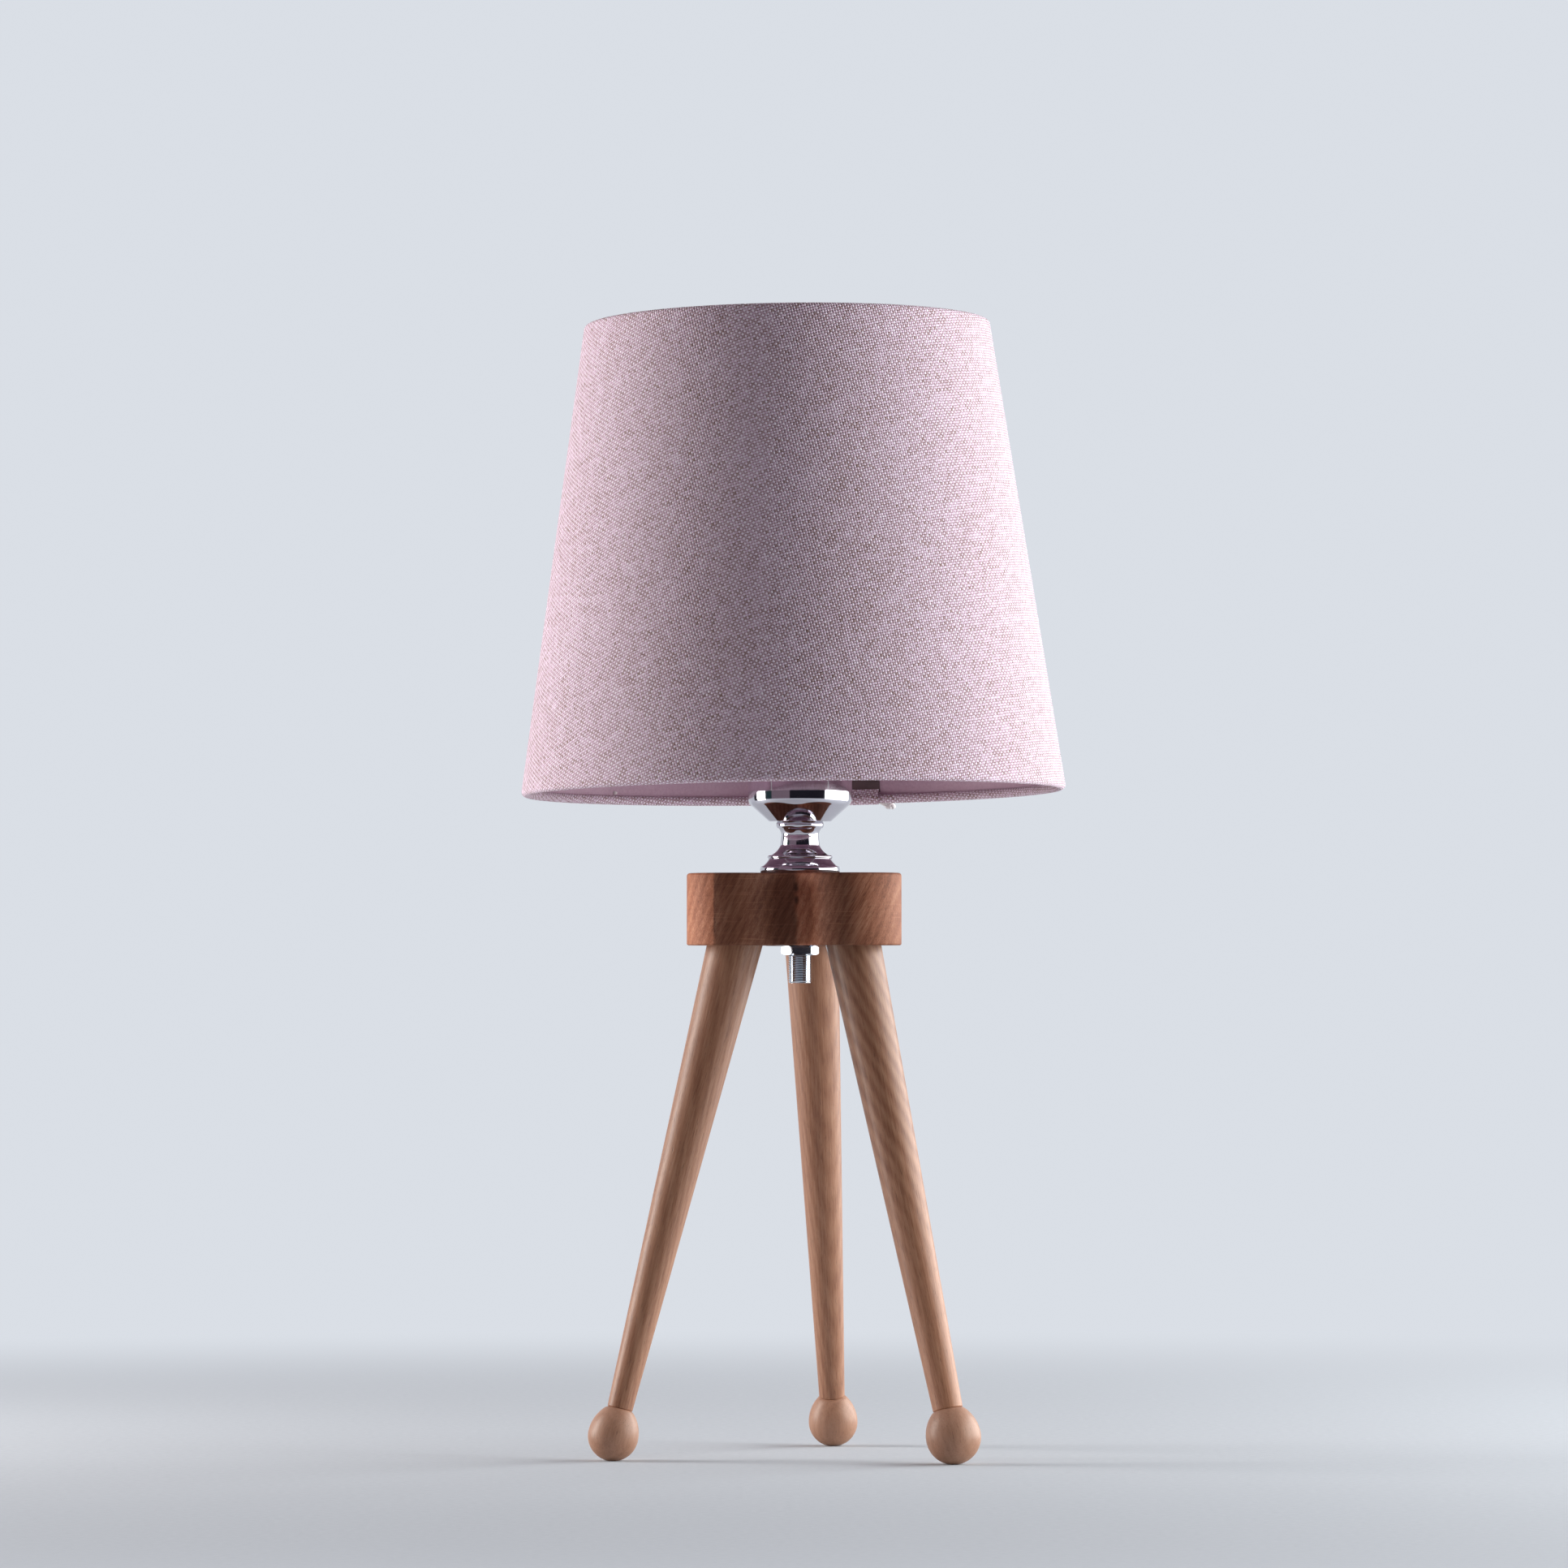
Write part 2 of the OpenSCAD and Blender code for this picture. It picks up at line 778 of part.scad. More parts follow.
// Outside radius of the shade at height z of its own frame
function cone_r(z) = (shade_bottom_d - (shade_bottom_d - shade_top_d) * z / shade_h) / 2;
// Angle of the shade's side from its axis
slant = atan((shade_bottom_d - shade_top_d) / 2 / shade_h);
bottom_roll_r = cone_r(hem_d / 2) - hem_d / 2 / cos(slant);
top_roll_r = cone_r(shade_h - hem_d / 2) - hem_d / 2 / cos(slant);

// Each arm leaves the underside of the fitter ring and ends against the bottom hem
module fitter_arms() {
    level_z = fitter_z - arm_d / 2;
    start_r = fitter_d / 2 - arm_d / 2;
    aside = (hem_d + arm_d) / 2 + joint_gap;
    color("#f0eeea")
        for (k = [0:2]) {
            a = arm_turn + 120 * k;
            way = [cos(a), sin(a)];
            start = [start_r * way[0], start_r * way[1], level_z];
            turn = [(start_r + arm_level) * way[0], (start_r + arm_level) * way[1], level_z];
            near_r = bottom_roll_r - aside;
            beside = posed([near_r * way[0], near_r * way[1], hem_d / 2]);
            rod(start, turn, arm_d);
            rod(turn, beside, arm_d);
        }
}

// ---- Shade ----
module hoop(at_r, at_z, d) {
    translate([0, 0, at_z])
        rotate_extrude()
            translate([at_r, 0])
                circle(d = d);
}

module bottom_wire() {
    color("#f0eeea")
        shade_pose()
            hoop(bottom_roll_r, hem_d / 2, wire_d);
}

module top_wire() {
    color("#f0eeea")
        shade_pose()
            hoop(top_roll_r, shade_h - hem_d / 2, wire_d);
}

module hem(at_r, at_z) {
    shade_pose()
        translate([0, 0, at_z])
            rotate_extrude()
                translate([at_r, 0])
                    difference() {
                        circle(d = hem_d);
                        circle(d = wire_d + joint_gap);
                    }
}

module bottom_hem() {
    color("#cdb6a2")
        hem(bottom_roll_r, hem_d / 2);
}

module top_hem() {
    color("#cdb6a2")
        hem(top_roll_r, shade_h - hem_d / 2);
}

// Height above a roll's centre at which a sheet of thickness t, o inside the cover, clears it
function roll_lap(o, t) = sqrt(pow(hem_d / 2, 2) - pow(max(hem_d / 2 - o - t, 0), 2)) + hem_space;

// A conical sheet set inward by o from the shade's outside
module cone_sheet(o, t, low, high) {
    rotate_extrude()
        polygon([
            [cone_r(low) - o - t, low],
            [cone_r(low) - o, low],
            [cone_r(high) - o, high],
            [cone_r(high) - o - t, high]
        ]);
}

module cover() {
    lap = roll_lap(0, cover_t);
    color("#c7ab97")
        shade_pose()
            cone_sheet(0, cover_t, hem_d / 2 + lap, shade_h - hem_d / 2 - lap);
}

module lining() {
    lap = roll_lap(cover_t, lining_t);
    color("#b99684")
        shade_pose()
            cone_sheet(cover_t, lining_t, hem_d / 2 + lap, shade_h - hem_d / 2 - lap);
}

// The cover's outer end laps over its inner end at the back
module seam() {
    lap = roll_lap(0, cover_t);
    low = hem_d / 2 + lap;
    high = shade_h - hem_d / 2 - lap;
    turn = seam_w / (shade_bottom_d / 2) * 180 / PI;
    color("#c2a592")
        shade_pose()
            rotate([0, 0, seam_turn - turn / 2])
                rotate_extrude(angle = turn)
                    polygon([
                        [cone_r(low), low],
                        [cone_r(low) + seam_t, low],
                        [cone_r(high) + seam_t, high],
                        [cone_r(high), high]
                    ]);
}

// ---- Bulb ----
button_z = socket_floor;
insulator_z = button_z + button_h;
cap_z = insulator_z + insulator_h;
cap_top = cap_z + cap_h;
housing_top = cap_top + housing_h;
spigot_d = cap_d - 2 * cap_wall - 2 * joint_gap;
globe_foot_d = housing_d - bulb_step;
board_d = globe_foot_d - 2 * globe_wall - 2 * joint_gap;

module bulb_button() {
    color("#b8bac0")
        translate([0, 0, button_z])
            cylinder(d = button_d, h = button_h);
}

module bulb_insulator() {
    color("#26262a")
        translate([0, 0, insulator_z])
            cylinder(d1 = button_d + bulb_step, d2 = cap_d - insulator_h, h = insulator_h);
}

module bulb_cap() {
    color("#c9cbd0")
        translate([0, 0, cap_z])
            difference() {
                cylinder(d = cap_d, h = cap_h);
                translate([0, 0, cap_wall])
                    cylinder(d = cap_d - 2 * cap_wall, h = cap_h);
            }
}

module bulb_housing() {
    color("#f2f1ee")
        translate([0, 0, cap_top])
            difference() {
                union() {
                    translate([0, 0, -spigot_h])
                        cylinder(d = spigot_d, h = spigot_h + eps);
                    cylinder(d1 = cap_d + 2 * bulb_step, d2 = housing_d, h = housing_h);
                }
                translate([0, 0, -spigot_h - eps])
                    cylinder(d = spigot_d - 2 * housing_wall, h = spigot_h + 2 * eps);
                cylinder(
                    d1 = spigot_d - 2 * housing_wall,
                    d2 = board_d - housing_wall,
                    h = housing_h + eps
                );
            }
}

module bulb_board() {
    color("#f5f5f0")
        translate([0, 0, housing_top]) {
            cylinder(d = board_d, h = board_t);
            for (k = [0:chips - 1])
                rotate([0, 0, 360 * k / chips])
                    translate([board_d / 3 - chip_w / 2, -chip_l / 2, board_t - eps])
                        cube([chip_w, chip_l, chip_h]);
        }
}

// An upright board with its reservoir capacitor and coil
module bulb_driver() {
    low = cap_z + spigot_h;
    color("#3c7a4a")
        translate([0, 0, low]) {
            translate([-driver_w / 2, -driver_t / 2, 0])
                cube([driver_w, driver_t, housing_top - low]);
            translate([-capacitor_d / 2, (driver_t + capacitor_d) / 2 - eps, capacitor_d])
                cylinder(d = capacitor_d, h = capacitor_h);
            translate([coil_d / 2, eps - (driver_t + coil_d) / 2, 2 * coil_h])
                cylinder(d = coil_d, h = coil_h);
        }
}

module bulb_globe() {
    r0 = globe_foot_d / 2;
    r1 = globe_d / 2;
    tip_r = globe_tip_d / 2;
    tip_z = globe_h - globe_tip_h;
    outside = concat(
        bow([r0, 0], [r1, globe_wide_h], -globe_foot_bow),
        bow([r1, globe_wide_h + eps], [tip_r, tip_z], -globe_side_bow, 12),
        bow([tip_r - eps, tip_z + eps], [eps, globe_h], -globe_tip_bow)
    );
    inside = concat(
        bow([r0 - globe_wall, 0], [r1 - globe_wall, globe_wide_h], -globe_foot_bow),
        bow([r1 - globe_wall, globe_wide_h + eps], [tip_r - globe_wall, tip_z], -globe_side_bow, 12),
        [[eps, globe_h - 2 * globe_wall]]
    );
    color("#f7f4ec")
        translate([0, 0, housing_top])
            rotate_extrude()
                polygon(concat(outside, [for (i = [len(inside) - 1:-1:0]) inside[i]]));
}

hub();
leg_right();
leg_left();
leg_back();
foot_right();
foot_left();
foot_back();
foot_dowels();
stem();
bottom_nut();
bottom_washer();
neck();
cup();
lock_washer();
lock_nut();
holder_base();
grub_screw();
holder_core();
holder_terminals();
terminal_screws();
centre_contact();
screw_shell();
holder_sleeve();
collar();
fitter_ring();
fitter_arms();
bottom_wire();
top_wire();
bottom_hem();
top_hem();
cover();
lining();
seam();
bulb_button();
bulb_insulator();
bulb_cap();
bulb_driver();
bulb_housing();
bulb_board();
bulb_globe();
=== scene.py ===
import json
import math

import bmesh
import bpy
import numpy as np
from mathutils import Matrix, Vector


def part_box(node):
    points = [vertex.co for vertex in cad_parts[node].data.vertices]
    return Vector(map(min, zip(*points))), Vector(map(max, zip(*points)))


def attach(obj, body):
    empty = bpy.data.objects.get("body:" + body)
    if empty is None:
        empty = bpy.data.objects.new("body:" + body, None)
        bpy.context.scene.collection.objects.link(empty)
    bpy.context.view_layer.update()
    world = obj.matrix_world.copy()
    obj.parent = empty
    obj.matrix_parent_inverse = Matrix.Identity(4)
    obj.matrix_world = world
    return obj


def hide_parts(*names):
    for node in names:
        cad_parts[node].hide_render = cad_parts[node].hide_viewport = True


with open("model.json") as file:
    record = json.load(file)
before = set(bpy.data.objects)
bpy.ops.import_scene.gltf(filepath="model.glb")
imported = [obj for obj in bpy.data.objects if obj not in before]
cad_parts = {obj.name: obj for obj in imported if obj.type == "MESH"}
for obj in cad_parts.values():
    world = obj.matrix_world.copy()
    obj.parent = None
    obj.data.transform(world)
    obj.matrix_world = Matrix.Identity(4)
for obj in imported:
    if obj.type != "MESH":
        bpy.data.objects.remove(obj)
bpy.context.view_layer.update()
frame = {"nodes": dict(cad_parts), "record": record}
scene = bpy.context.scene
nodes = frame["nodes"]
mm, um = 1e-3, 1e-6
full_turn = 2 * math.pi


def low(node):
    """The lowest corner of a CAD node."""
    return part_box(node)[0]


def high(node):
    """The highest corner of a CAD node."""
    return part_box(node)[1]


# ---- Sizes: what the frame gives, and the driving dimensions behind it ----
hub_low, hub_high = low("hub").z, high("hub").z
lobe_pitch, lobe_r, valley_r = 30 * mm, 20.5 * mm, 12 * mm
hub_top_round, hub_bottom_round = 1.3 * mm, 0.8 * mm
leg_names = ("right", "left", "back")
back_leg_turn = math.radians(80)
leg_turns = [back_leg_turn + math.radians(t) for t in (-120, 120, 0)]
leg_splay = math.radians(14.7)
leg_top_r = 11.7 * mm
leg_axis_l = hub_low / math.cos(leg_splay)
ankle_rs = [6.4 * mm, 5.45 * mm, 5.6 * mm]
ankle_chamfer = 0.3 * mm
foot_rs = [11.7 * mm, 10.8 * mm, 10.75 * mm]
foot_rise = 11.9 * mm
foot_flat = 0.2 * mm
tenon_r, tenon_l, tenon_chamfer = 7 * mm, 22 * mm, 1 * mm
stem_r, stem_bore_r = 5 * mm, 4 * mm
stem_hole_r = stem_r + 0.2 * mm
stem_low, stem_high = low("stem").z, high("stem").z
nut_flat, nut_turn = 14 * mm, math.radians(5.8)
washer_r = high("bottom_washer").x
washer_t = high("bottom_washer").z - hub_low
cup_r = high("cup").x
cup_low, cup_high = low("cup").z, high("cup").z
fitter_low, fitter_high = low("fitter_ring").z, high("fitter_ring").z
fitter_r = high("fitter_ring").x
arm_r = 1.5 * mm
arm_turns = [math.radians(90 + 120 * k) for k in range(3)]
sleeve_r, sleeve_bore_r = 19.8 * mm, 14.1 * mm
mouth_z = high("holder_sleeve").z

shade_bottom_r, shade_top_r, shade_h = 117.5 * mm, 87.5 * mm, 203.3 * mm
shade_slant = math.atan((shade_bottom_r - shade_top_r) / shade_h)
apex_run = shade_bottom_r / math.sin(shade_slant)
hem_r = 2 * mm
linen_t, lining_t = 0.55 * mm, 0.4 * mm
seam_turn = math.radians(76)
seam_w = 12 * mm
inner_seam_turn = seam_turn - math.radians(1.9)
shade_pose = (
    Matrix.Translation((-2.8 * mm, -1 * mm, fitter_low - 50 * mm))
    @ Matrix.Rotation(math.radians(-0.8), 4, "Y")
    @ Matrix.Rotation(math.radians(-1.2), 4, "X")
)


# ---- Mesh helpers ----
def add_object(name, data):
    """A new object in the scene."""
    made = bpy.data.objects.new(name, data)
    scene.collection.objects.link(made)
    return made


def new_piece(name, points, faces, material):
    """A new object with a mesh from points and faces, as they are."""
    mesh = bpy.data.meshes.new(name)
    mesh.from_pydata([tuple(p) for p in points], [], faces)
    mesh.materials.append(material)
    return add_object(name, mesh)


def clean_mesh(mesh, merge=0, thin=0):
    """Merges points nearer than one distance, drops slivers under another, and turns all faces outward."""
    shaped = bmesh.new()
    shaped.from_mesh(mesh)
    if merge:
        bmesh.ops.remove_doubles(shaped, verts=shaped.verts, dist=merge)
        bmesh.ops.dissolve_degenerate(shaped, edges=shaped.edges, dist=thin)
    bmesh.ops.recalc_face_normals(shaped, faces=shaped.faces)
    shaped.to_mesh(mesh)
    shaped.free()


def smooth(mesh, sharp=40):
    """Smooth shading, which leaves edges sharp above an angle in degrees."""
    mesh.shade_smooth()
    mesh.set_sharp_from_angle(angle=math.radians(sharp))


def keep_grain(mesh, pose=None):
    """Stores each point's place along the grain, then puts the mesh where its pose says."""
    grain = mesh.attributes.get("grain") or mesh.attributes.new("grain", "FLOAT_VECTOR", "POINT")
    for vertex in mesh.vertices:
        grain.data[vertex.index].vector = vertex.co
    if pose is not None:
        mesh.transform(pose)


def add_mesh(name, points, faces, material, pose=None, sharp=40):
    """A smooth piece from points and faces, with points that coincide merged."""
    piece = new_piece(name, points, faces, material)
    clean_mesh(piece.data, merge=0.1 * um, thin=0.1 * um)
    smooth(piece.data, sharp)
    keep_grain(piece.data, pose)
    return piece


def grid(rows, columns, wrap_rows=False, wrap_columns=True):
    """Quads over a grid of points stored row by row."""
    faces = []
    for i in range(rows if wrap_rows else rows - 1):
        for j in range(columns if wrap_columns else columns - 1):
            i2, j2 = (i + 1) % rows, (j + 1) % columns
            faces.append((i * columns + j, i * columns + j2, i2 * columns + j2, i2 * columns + j))
    return faces


def joined(shapes):
    """Several shapes, each its points and faces, as the points and faces of one."""
    points, faces = [], []
    for more_points, more_faces in shapes:
        faces += [tuple(len(points) + k for k in face) for face in more_faces]
        points += more_points
    return points, faces


def even_turns(columns):
    """Equal steps of turn round a full circle."""
    return [full_turn * j / columns for j in range(columns)]


def direction(turn):
    """The level direction at a turn from +X."""
    return Vector((math.cos(turn), math.sin(turn), 0))


def polar(radius, turn, z):
    """A point by its radius, its turn from +X and its height."""
    return radius * math.cos(turn), radius * math.sin(turn), z


def swept(outline_at, turns):
    """Points about +Z, row by row, from the outline of (radius, height) points at each turn."""
    outlines = [outline_at(turn) for turn in turns]
    return [polar(r, turn, z) for row in zip(*outlines) for (r, z), turn in zip(row, turns)]


def turned(name, outline, material, pose=None, closed=False, columns=96, sharp=40):
    """An outline turned about +Z. Closed joins its last point to its first."""
    points = swept(lambda turn: outline, even_turns(columns))
    faces = grid(len(outline), columns, wrap_rows=closed)
    return add_mesh(name, points, faces, material, pose, sharp)


def filleted(corners, closed=False, step=math.radians(12)):
    """Rounds each corner (x, y, radius) of an outline by an arc."""
    made = []
    last = len(corners) - 1
    for k, (x, y, radius) in enumerate(corners):
        corner = Vector((x, y))
        if radius == 0 or (not closed and k in (0, last)):
            made.append((x, y))
            continue
        to_last = Vector(corners[k - 1][:2]) - corner
        to_next = Vector(corners[(k + 1) % len(corners)][:2]) - corner
        half = to_last.angle(to_next) / 2
        reach = min(radius / math.tan(half), 0.49 * to_last.length, 0.49 * to_next.length)
        bend_r = reach * math.tan(half)
        middle = (to_last.normalized() + to_next.normalized()).normalized()
        centre = corner + middle * (bend_r / math.sin(half))
        start = corner + to_last.normalized() * reach - centre
        end = corner + to_next.normalized() * reach - centre
        turn = math.atan2(start.cross(end), start.dot(end))
        count = max(2, math.ceil(abs(turn) / step))
        for i in range(count + 1):
            a = turn * i / count
            c, s = math.cos(a), math.sin(a)
            made.append((centre.x + c * start.x - s * start.y, centre.y + s * start.x + c * start.y))
    return held(made, closed)


def held(outline, closed=False, hold=0.08 * mm):
    """Adds points close to the ends of long straight stretches, so that smooth shading leaves them flat."""
    made = []
    for i, point in enumerate(outline):
        made.append(point)
        if i + 1 == len(outline) and not closed:
            break
        a, b = Vector(point), Vector(outline[(i + 1) % len(outline)])
        length = (b - a).length
        if length > 6 * hold:
            made += [tuple(a.lerp(b, hold / length)), tuple(b.lerp(a, hold / length))]
    return made


def bowed(start, end, bulge, count=10):
    """Points of a shallow arc between two points, which bulges to the right of the way by a distance."""
    a, b = Vector(start), Vector(end)
    way = b - a
    side = Vector((way.y, -way.x)).normalized()
    half = 2 * math.atan(2 * abs(bulge) / way.length)
    radius = way.length / (2 * math.sin(half))
    sign = math.copysign(1, bulge)
    made = []
    for i in range(count + 1):
        f = half * (2 * i / count - 1)
        along = 0.5 + math.sin(f) / (2 * math.sin(half))
        out = sign * radius * (math.cos(f) - math.cos(half))
        made.append(tuple(a + way * along + side * out))
    return made


def tube(path, radius, columns=16, end_rows=4):
    """Points and faces of a round tube with domed ends along a list of points."""
    last = len(path) - 1
    ways = [(path[min(i + 1, last)] - path[max(i - 1, 0)]).normalized() for i in range(last + 1)]
    dome = [math.pi / 2 * k / end_rows for k in range(end_rows)]
    rows = [(path[0] - ways[0] * radius * math.cos(a), ways[0], radius * math.sin(a)) for a in dome]
    rows += [(point, way, radius) for point, way in zip(path, ways)]
    for a in reversed(dome):
        rows.append((path[-1] + ways[-1] * radius * math.cos(a), ways[-1], radius * math.sin(a)))
    side = ways[0].orthogonal().normalized()
    points = []
    for centre, way, r in rows:
        side = (side - way * side.dot(way)).normalized()
        other = way.cross(side)
        points += [centre + (side * math.cos(a) + other * math.sin(a)) * r for a in even_turns(columns)]
    return points, grid(len(rows), columns)


def threaded(name, material, crest_r, bore_r, bottom, top, pitch, depth, teeth, columns=64):
    """A tube with a helical thread outside. The teeth give the cut's depth at equal steps along one pitch."""
    steps = len(teeth)
    first, last = -steps, int((top - bottom) / pitch * steps) + 2 * steps
    rows = last - first
    core_r = crest_r - depth

    def outline_at(turn):
        outline = []
        for i in range(first, last):
            z = min(max(bottom + pitch * (i / steps + turn / full_turn), bottom), top)
            cut = crest_r - depth * teeth[i % steps]
            outline.append((min(cut, core_r + min(z - bottom, top - z)), z))
        return outline

    faces = grid(rows, columns, wrap_columns=False)
    for i in range(rows - 1 - steps):
        end, start = (i + 1) * columns - 1, (i + steps) * columns
        faces.append((end, start, start + columns, end + columns))
    thread = swept(outline_at, even_turns(columns)), faces
    core_outline = [(core_r, bottom), (bore_r, bottom), (bore_r, top), (core_r, top)]
    core = swept(lambda turn: core_outline, even_turns(columns)), grid(4, columns)
    return add_mesh(name, *joined([thread, core]), material, sharp=50)


# ---- Shader helpers ----
class Shader:
    """A material or a world under construction, with short calls for its nodes."""

    def __init__(self, name, kind="materials"):
        self.owner = getattr(bpy.data, kind).new(name)
        self.owner.use_nodes = True
        self.tree = self.owner.node_tree
        self.tree.nodes.clear()

    def node(self, kind, inputs=None, out=0, **settings):
        """Adds a node, sets or links its inputs, and gives one of its outputs."""
        made = self.tree.nodes.new("ShaderNode" + kind)
        for key, value in settings.items():
            setattr(made, key, value)
        for key, value in (inputs or {}).items():
            if isinstance(value, bpy.types.NodeSocket):
                self.tree.links.new(value, made.inputs[key])
            else:
                made.inputs[key].default_value = value
        return made.outputs[out] if made.outputs else None

    def math(self, operation, *values):
        return self.node("Math", dict(enumerate(values)), operation=operation)

    def vector(self, operation, *values, out=0):
        return self.node("VectorMath", dict(enumerate(values)), out=out, operation=operation)

    def part(self, vector, axis):
        """The X, Y or Z of a vector, by its number 0, 1 or 2."""
        return self.node("SeparateXYZ", {0: vector}, out=axis)

    def swing(self, level, value, share):
        """A level that a value moves up above its middle of 0.5, and down below it."""
        return self.math("MULTIPLY_ADD", self.math("SUBTRACT", value, 0.5), share, level)

    def noise(self, vector, scale, detail=3, roughness=0.5, out=0):
        inputs = {"Vector": vector, "Scale": scale, "Detail": detail, "Roughness": roughness}
        return self.node("TexNoise", inputs, out=out)

    def drawn_noise(self, vector, along, scale, detail=3, roughness=0.5):
        """Noise whose scale along Z is multiplied by a number."""
        return self.noise(self.vector("MULTIPLY", vector, (1, 1, along)), scale, detail, roughness)

    def ramp(self, factor, stops):
        """A colour ramp through (place, colour) stops."""
        made = self.tree.nodes.new("ShaderNodeValToRGB")
        elements = made.color_ramp.elements
        while len(elements) < len(stops):
            elements.new(0.5)
        for element, (place, colour) in zip(elements, stops):
            element.position = place
            element.color = (*colour, 1)
        self.tree.links.new(factor, made.inputs["Fac"])
        return made.outputs["Color"]

    def range(self, value, low_in, high_in, low_out, high_out, **settings):
        """A value carried over from one range to another, and held inside it."""
        names = ("Value", "From Min", "From Max", "To Min", "To Max")
        inputs = dict(zip(names, (value, low_in, high_in, low_out, high_out)))
        return self.node("MapRange", inputs, **settings)

    def mix(self, factor, first, second, blend="MIX"):
        """Two colours blended by a factor."""
        made = self.tree.nodes.new("ShaderNodeMix")
        made.data_type = "RGBA"
        made.blend_type = blend
        for index, value in ((0, factor), (6, first), (7, second)):
            if isinstance(value, bpy.types.NodeSocket):
                self.tree.links.new(value, made.inputs[index])
            else:
                made.inputs[index].default_value = value if index == 0 else (*value, 1)
        return made.outputs[2]

    def object_place(self):
        """Places in the object's own frame."""
        return self.node("TexCoord", out=3)

    def grain_place(self):
        """Places along a wooden piece's own grain."""
        return self.node("Attribute", out=1, attribute_name="grain")

    def glow(self, colour):
        """Light of one colour, at full strength."""
        return self.node("Emission", {"Color": (*colour, 1), "Strength": 1.0})

    def seen_directly(self):
        """1 for what the camera, reflections and glass see, and 0 for the light on the object."""
        path = self.tree.nodes.new("ShaderNodeLightPath")
        total = self.math("ADD", path.outputs["Is Camera Ray"], path.outputs["Is Glossy Ray"])
        return self.math("MAXIMUM", total, path.outputs["Is Transmission Ray"])

    def bump(self, height, distance, strength=1.0):
        return self.node("Bump", {"Height": height, "Distance": distance, "Strength": strength})

    def output(self, surface):
        """Ends a material in a surface."""
        self.node("OutputMaterial", {"Surface": surface})
        return self.owner

    def finish(self, **inputs):
        """Ends in a principled surface, whose inputs are given with underscores for spaces."""
        named = {key.replace("_", " "): value for key, value in inputs.items()}
        return self.output(self.node("BsdfPrincipled", named))


def shaded(colour, share):
    """A colour darkened to a share."""
    return tuple(c * share for c in colour)


# ---- Linen and lining ----
warp_pitch, weft_pitch = 1.143 * mm, 1.109 * mm
thread_waver = 0.9 * mm
crossing_lift = 0.8


def crossing(shader, across, along):
    """How far the warp lies over the weft, the height of the thread on top, and 1 where that is the warp."""
    sin_across = shader.math("SINE", across)
    sin_along = shader.math("SINE", along)
    over = shader.math("MULTIPLY", sin_across, sin_along)
    lift = shader.math("MULTIPLY", over, crossing_lift)
    warp = shader.math("ADD", shader.math("ABSOLUTE", sin_across), lift)
    weft = shader.math("SUBTRACT", shader.math("ABSOLUTE", sin_along), lift)
    return over, shader.math("MAXIMUM", warp, weft), shader.math("GREATER_THAN", warp, weft)


def thread_slub(shader, number, along, number_axis, layer):
    """Thick and thin stretches along each thread, which differ from thread to thread."""
    place = {
        number_axis: shader.math("MULTIPLY", number, 3.7),
        1 - number_axis: shader.math("MULTIPLY", along, 0.05),
        2: layer,
    }
    return shader.noise(shader.node("CombineXYZ", place), 1, 2, 0.6)


def linen():
    """Plain weave in the flat cut's own directions, with slubs, painted shade in the gaps between threads,
    painted highlights on the crowns and a soft sheen.
    """
    shader = Shader("linen")
    flat = shader.node("UVMap", uv_map="weave")
    waver = shader.vector("SUBTRACT", shader.noise(flat, 70, 2, out=1), (0.5, 0.5, 0.5))
    moved = shader.vector("MULTIPLY_ADD", waver, (thread_waver, thread_waver, 0), flat)
    half_turns = shader.vector("MULTIPLY", moved, (math.pi / warp_pitch, math.pi / weft_pitch, 0))
    across, along = shader.part(half_turns, 0), shader.part(half_turns, 1)
    warp_number, weft_number = (
        shader.math("FLOOR", shader.math("DIVIDE", turns, math.pi)) for turns in (across, along)
    )
    over, height, warp_on_top = crossing(shader, across, along)
    warp_slub = thread_slub(shader, warp_number, along, 0, 0.0)
    weft_slub = thread_slub(shader, weft_number, across, 1, 9.0)
    slub = shader.node("Mix", {0: warp_on_top, 2: weft_slub, 3: warp_slub}, data_type="FLOAT")
    mottle = shader.noise(flat, 16, 3)
    fibre = shader.noise(moved, 2600, 2, 0.7)
    cell = shader.node("CombineXYZ", {0: warp_number, 1: weft_number})
    painted_crown_glint = shader.node("TexWhiteNoise", {"Vector": cell}, noise_dimensions="3D")
    # Painted light and shade in the level: the thread's height darkens the gaps between threads and lightens
    # the crowns, over lightens the warp's crowns and darkens the weft's, and each crown takes its own painted
    # glint. Slubs, fibres and mottle are the yarn's own tone.
    level = shader.math("MULTIPLY_ADD", height, 0.42, 0.12)
    level = shader.math("MULTIPLY_ADD", over, 0.35, level)
    for value, share in ((slub, 0.70), (painted_crown_glint, 0.20), (fibre, 0.4), (mottle, 0.12)):
        level = shader.swing(level, value, share)
    # The lowest stop is painted shade deep in the gaps.
    colour = shader.ramp(level, [
        (0.0, (0.100, 0.050, 0.034)),
        (0.25, (0.360, 0.230, 0.205)),
        (0.58, (0.745, 0.535, 0.685)),
        (1.0, (0.930, 0.845, 0.915)),
    ])
    pale = shader.math("MULTIPLY", shader.range(slub, 0.62, 0.78, 0, 1), 0.35)
    colour = shader.mix(pale, colour, (0.92, 0.85, 0.90))
    return shader.finish(
        Base_Color=colour,
        Roughness=shader.range(fibre, 0, 1, 0.75, 1),
        Normal=shader.bump(shader.math("MULTIPLY_ADD", fibre, 0.25, height), 0.19 * mm),
        Sheen_Weight=0.2,
        Sheen_Roughness=0.45,
        Specular_IOR_Level=0.25,
    )


